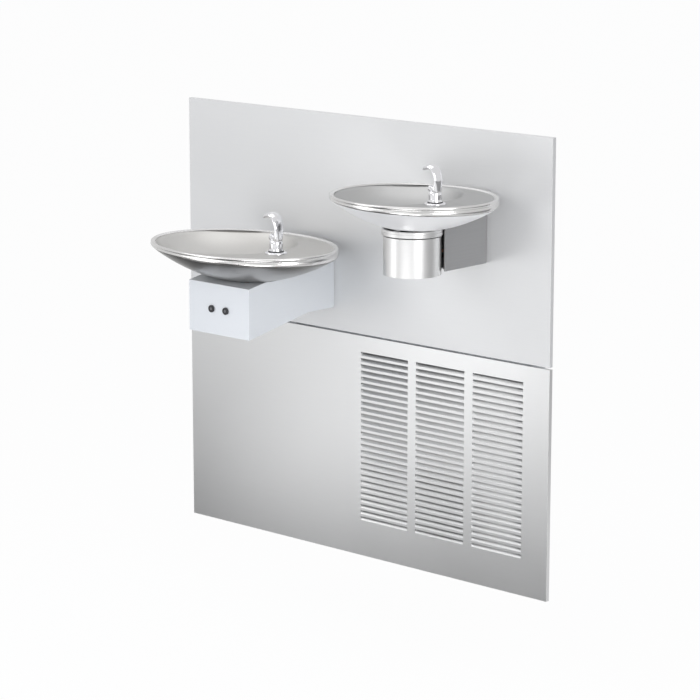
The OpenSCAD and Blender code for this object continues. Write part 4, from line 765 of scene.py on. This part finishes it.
# Painted light: the high bowl's skin is painted near white so its underside looks brightly lit.
painted_lit_skin = metal("painted_lit_skin", (0.88, 0.88, 0.88), (0.94, 0.94, 0.94), (0.97, 0.97, 0.97), 0.38,
                  (30, 30, 700), strength=0.6, bump=0.004, clouds=7.0, cloud_rough=0.05, metallic=0.35)


def oval(x, out, half_w, half_d, z, tilt=0):
    """The place of a unit circle as an oval in mm, which rises by tilt towards the right."""
    return Matrix(((half_w * MM, 0, 0, x * MM), (0, half_d * MM, 0, -out * MM), (tilt * MM, 0, 1, z * MM),
                   (0, 0, 0, 1)))


def lofted(places, sides, finishes=None, closed=False):
    """A unit circle drawn through a list of places, with a finish number for each span."""
    bm = bmesh.new()
    bmesh.ops.create_circle(bm, cap_ends=not closed, cap_tris=False, radius=1, segments=sides, matrix=places[0])
    loop = bm.edges[:]
    for span, (before, after) in enumerate(zip(places, places[1:])):
        grown = bmesh.ops.extrude_edge_only(bm, edges=loop)["geom"]
        verts = [g for g in grown if isinstance(g, bmesh.types.BMVert)]
        fresh = set(verts)
        loop = [g for g in grown if isinstance(g, bmesh.types.BMEdge) and fresh.issuperset(g.verts)]
        bmesh.ops.transform(bm, matrix=after @ before.inverted(), verts=verts)
        for face in grown:
            if isinstance(face, bmesh.types.BMFace) and finishes:
                face.material_index = finishes[span]
    if closed:
        bmesh.ops.remove_doubles(bm, verts=bm.verts, dist=SEAM)
    else:
        bmesh.ops.contextual_create(bm, geom=loop)
    return bm


BAND, BAND_START, LEAN = 13, 2.5, -5
DRAIN_SHARE, DRAIN_R, SEAT_R, SEAT_EDGE = 0.07, 20, 28, 32
DECK_DROP, LIP_DROP, SHEET_T, WALL_GROW = 3, 0.4, 2, 1.2
# Rings as shares of the bowl: place across, half width, half depth, and in the basin's wall the depth
BASIN_LIP, DECK_INNER = (-0.228, 0.705, 0.888), (-0.222, 0.73, 0.908)
DECK_OUTER, DECK_BACK = (0, 0.945, 0.945), (0, 0.93, 0.93)
WALL_SHARES = [(-0.10, 0.30, 0.33, -0.97), (-0.145, 0.45, 0.54, -0.86), (-0.185, 0.565, 0.71, -0.62),
               (-0.21, 0.635, 0.81, -0.35), (-0.225, 0.675, 0.865, -0.15)]
# The rolled rim's outline: outwards and up from the rim's line, in mm
RIM_STEPS = [(-9.5, -3.1), (-7.0, -1.7), (-4.2, -0.1), (-1.6, -0.4), (0.1, -2.0), (0.1, -4.2), (-1.3, -5.6),
             (-1.3, -6.6), (0.3, -8.0), (0.4, -10.6), (-0.6, -12.8), (-1.8, -13.1), (-2.9, -12.2), (-3.5, -6.2),
             (-4.2, -3.4), (-9.5, -5.2)]
RIM_POLISHED = 12


def pressed_bowl(name, nodes_for, x, out, half_w, half_d, rim, drop, finish):
    drain_x = x - DRAIN_SHARE * half_w
    floor = rim - drop

    def level(share, z):
        return oval(x + share[0] * half_w, out, share[1] * half_w, share[2] * half_d, z)

    def wall(grow, down):
        return [oval(x + s[0] * half_w, out, s[1] * half_w + grow, s[2] * half_d + grow, rim + s[3] * drop - down)
                for s in WALL_SHARES]

    def lip(step):
        depth = max(0, -step[1] - BAND_START) / (BAND - BAND_START)
        return oval(x, out, half_w + step[0], half_d + step[0], rim + step[1], LEAN * depth)

    places = [oval(drain_x, out, DRAIN_R, DRAIN_R, floor), oval(drain_x, out, SEAT_R, SEAT_R, floor),
              oval(drain_x, out, SEAT_EDGE, SEAT_EDGE, floor + 0.4), *wall(0, 0),
              level(BASIN_LIP, rim - DECK_DROP - LIP_DROP), level(DECK_INNER, rim - DECK_DROP),
              level(DECK_OUTER, rim - DECK_DROP)]
    before_rim = len(places)
    places += [lip(step) for step in RIM_STEPS]
    deck_back = rim - DECK_DROP - SHEET_T
    places += [level(DECK_BACK, deck_back), level(DECK_INNER, deck_back), *reversed(wall(WALL_GROW, SHEET_T)),
               oval(drain_x, out, SEAT_R, SEAT_R, floor - SHEET_T),
               oval(drain_x, out, DRAIN_R, DRAIN_R, floor - SHEET_T), places[0]]
    finishes = [1 if before_rim <= span < before_rim + RIM_POLISHED else 0 for span in range(len(places) - 1)]
    piece(name, lofted(places, 48, finishes, closed=True), [finish, rim_polish], "fountain", nodes_for,
          rounded=2, rub=0)


SKIN_SHARES = [1, 0.965, 0.93, 0.84, 0.73, 0.61, 0.49, 0.38, 0.28]
SKIN_CURVE, SKIN_OUTSIDE, SKIN_INSIDE = 2.1, -0.4, 1.1
SKIN_SET, SKIN_EDGE, SKIN_T = 1, 2.6, 1.2
FOOT_R, HOLE_R = 40, 37


def bowl_skin(name, nodes_for, x, out, half_w, half_d, rim, height, finish):
    least = SKIN_SHARES[-1] ** SKIN_CURVE
    foot = rim - height

    def rings(grow, up):
        made = []
        for share in SKIN_SHARES:
            rise = (share ** SKIN_CURVE - least) / (1 - least)
            made.append(oval(x, out, (half_w - SKIN_SET) * share + grow, (half_d - SKIN_SET) * share + grow,
                             foot + (height - BAND) * rise + up, LEAN * rise))
        return made

    outer = rings(0, SKIN_OUTSIDE)
    edge = oval(x, out, half_w - SKIN_EDGE, half_d - SKIN_EDGE, rim - BAND + SKIN_OUTSIDE, LEAN)
    places = [*outer, oval(x, out, FOOT_R, FOOT_R, foot + SKIN_OUTSIDE),
              oval(x, out, HOLE_R, HOLE_R, foot + SKIN_OUTSIDE), oval(x, out, HOLE_R, HOLE_R, foot + SKIN_INSIDE),
              *reversed(rings(-SKIN_T, SKIN_INSIDE)[1:]), edge, outer[0]]
    piece(name, lofted(places, 48, closed=True), finish, "fountain", nodes_for, rounded=2, rub=0)


# Each bowl's place across, distance out from the wall, half width, half depth and rim height, in mm
LOW_BOWL = (LOW_X, 185, 212, 157, 192)
HIGH_BOWL = (HIGH_X, 162, 170, 147, 330)
pressed_bowl("low_bowl", ["low_basin"], *LOW_BOWL, 50, warm_bowl)
bowl_skin("low_bowl_skin", ["low_shell"], *LOW_BOWL, 70, warm_skin)
pressed_bowl("high_bowl", ["high_basin"], *HIGH_BOWL, 44, grey_bowl)
# The high skin's near-white colour is painted light.
bowl_skin("high_bowl_skin", ["high_shell"], *HIGH_BOWL, 63, painted_lit_skin)

# Strainers
# Stamped stainless discs with nineteen round holes. Each lies loose in its bowl's drain seat, over the waste
# elbow.
strainer_steel = metal("strainer_steel", (0.62, 0.62, 0.62), (0.78, 0.78, 0.78), (0.88, 0.88, 0.88), 0.2,
                       (300, 300, 300), bump=0.01, clouds=40)
for strainer in ("low_strainer", "high_strainer"):
    broken_edges(strainer, 0.3, strainer_steel)

# Bubblers
# A cast brass body, chromed and polished, on a turned flange with a black gasket. Its hood curls over the
# nozzle, from a round neck to a thin hollow scoop. A brass nut holds the shank under the deck.
chrome = metal("bright_chrome", (0.78, 0.78, 0.80), (0.86, 0.86, 0.88), (0.92, 0.92, 0.93), 0.09,
               (90, 90, 90), strength=0.4, bump=0.004, clouds=30.0, cloud_rough=0.06, start=0.62, end=0.95)
# Rings from the neck to the lip, as shares of the height: forwards, up, lean in degrees, half width, half depth
HOOD = [(0.03, 0.25, 0, 0.135, 0.12), (0.055, 0.36, -8, 0.14, 0.1), (0.085, 0.47, -8, 0.145, 0.075),
        (0.105, 0.585, 0, 0.155, 0.058), (0.085, 0.705, 16, 0.165, 0.058), (0.03, 0.825, 34, 0.17, 0.07),
        (-0.05, 0.9, 58, 0.165, 0.082), (-0.165, 0.915, 84, 0.15, 0.078), (-0.285, 0.88, 108, 0.12, 0.06),
        (-0.375, 0.82, 122, 0.08, 0.036)]
BUBBLER_H, HIGH_SHARE = 82, 0.92
NOZZLE_X, NOZZLE_Z, NOZZLE_LEAN = -6.2, 27.9, -52


def hood_place(share):
    lean = math.radians(share[2])
    thick, wide = share[4] * BUBBLER_H * MM, share[3] * BUBBLER_H * MM
    return Matrix(((0, -thick * math.cos(lean), -math.sin(lean) * MM, share[0] * BUBBLER_H * MM),
                   (wide, 0, 0, 0),
                   (0, -thick * math.sin(lean), math.cos(lean) * MM, share[1] * BUBBLER_H * MM),
                   (0, 0, 0, 1)))


def bubbler(unit, place):
    hood = lofted([hood_place(share) for share in HOOD], 24)
    nozzle = at(NOZZLE_X, 0, NOZZLE_Z) @ Matrix.Rotation(math.radians(NOZZLE_LEAN), 4, "Y")
    boss = turned([(0, -7), (7.2, -7), (7.45, -6.5), (7.45, 6.6), (6.8, 7.6), (5.4, 7.6), (5.05, 7.2), (5.05, 1),
                   (0, 1)], nozzle, 40)
    body = turned([(0, 4.75), (14.3, 4.75), (14.8, 5.4), (14.7, 6.8), (13.9, 8.2), (13.7, 10), (13.5, 19),
                   (13.2, 22.5), (12, 25.4), (9.6, 27), (5, 27.6), (0, 27.7)], steps=64)
    shank = turned([(0, -24), (5.4, -24), (6, -23.4), (6, 4.75), (0, 4.75)], steps=40)
    flange = turned([(6.4, 0), (21.8, 0), (21.8, 1.1), (21.3, 2.1), (20, 2.9), (18, 3.4), (15.5, 3.5), (6.4, 3.5)],
                    steps=72, closed=True)
    for bm in (hood, boss, body, shank, flange):
        bmesh.ops.transform(bm, matrix=place, verts=bm.verts)
    piece(unit + "_hood", hood, chrome, "fountain", [unit + "_bubbler"], smooth=180, rounded=2,
          rub=0)
    piece(unit + "_spout_body", whole_of(boss, body, shank), chrome, "fountain", [unit + "_bubbler"])
    piece(unit + "_flange", flange, chrome, "fountain", [unit + "_escutcheon"])
    broken_edges(unit + "_nozzle", 0.4, chrome)
    broken_edges(unit + "_bubbler_nut", 0.6, brass)
    dress(unit + "_bubbler_gasket", rubber)


bubbler("low", at(-35.976, 214.83, 189))
bubbler("high", at(363.97, 208.011, 327) @ Matrix.Scale(HIGH_SHARE, 4))

# Push sleeve and trim ring
# A deep-drawn stainless cup, satin round its side, slides on two ground rods towards the wall and opens a
# brass valve, whose spring is pressed flatter. The spun ring above it stays with the bowl.
SLEEVE_OUT = 165
push_satin = metal("push_satin", (0.70, 0.70, 0.70), (0.78, 0.78, 0.78), (0.93, 0.93, 0.93), 0.33,
                   (20, 20, 700), strength=0.6, bump=0.003, clouds=9.0, cloud_rough=0.05)
ground_steel = metal("ground_steel", (0.58, 0.58, 0.59), (0.70, 0.70, 0.71), (0.82, 0.82, 0.82), 0.18,
                     (30, 900, 900), bump=0.01, clouds=40)
broken_edges("push_bar", 1.2, push_satin, "push_bar", segments=3)
ring = turned([(49.5, 0), (57.7, 0), (58.5, 0.8), (58.5, 6.4), (58, 6.9), (58, 7.5), (58.5, 8), (58.4, 11),
               (57.3, 12.1), (54.2, 12.2), (53, 11), (49.5, 11)], at(HIGH_X, SLEEVE_OUT, 255.3), 96, closed=True)
piece("trim_ring_form", ring, push_satin, "fountain", ["trim_ring"])
broken_edges("push_carriage", 0.5, brass, "push_bar")
broken_edges("valve_bracket", 0.4, zinc_sheet)
broken_edges("valve_body", 1.0, brass, segments=3)
broken_edges("guide_rods", 0.4, ground_steel)
dress("valve_plunger", ground_steel)
coil_spring = bmesh.new()
coil_spring.from_mesh(nodes["return_spring"].data)
bmesh.ops.remove_doubles(coil_spring, verts=coil_spring.verts, dist=SEAM)
spring = piece("return_spring_form", coil_spring, ground_steel, "fountain", ["return_spring"], rub=0)
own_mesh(spring)
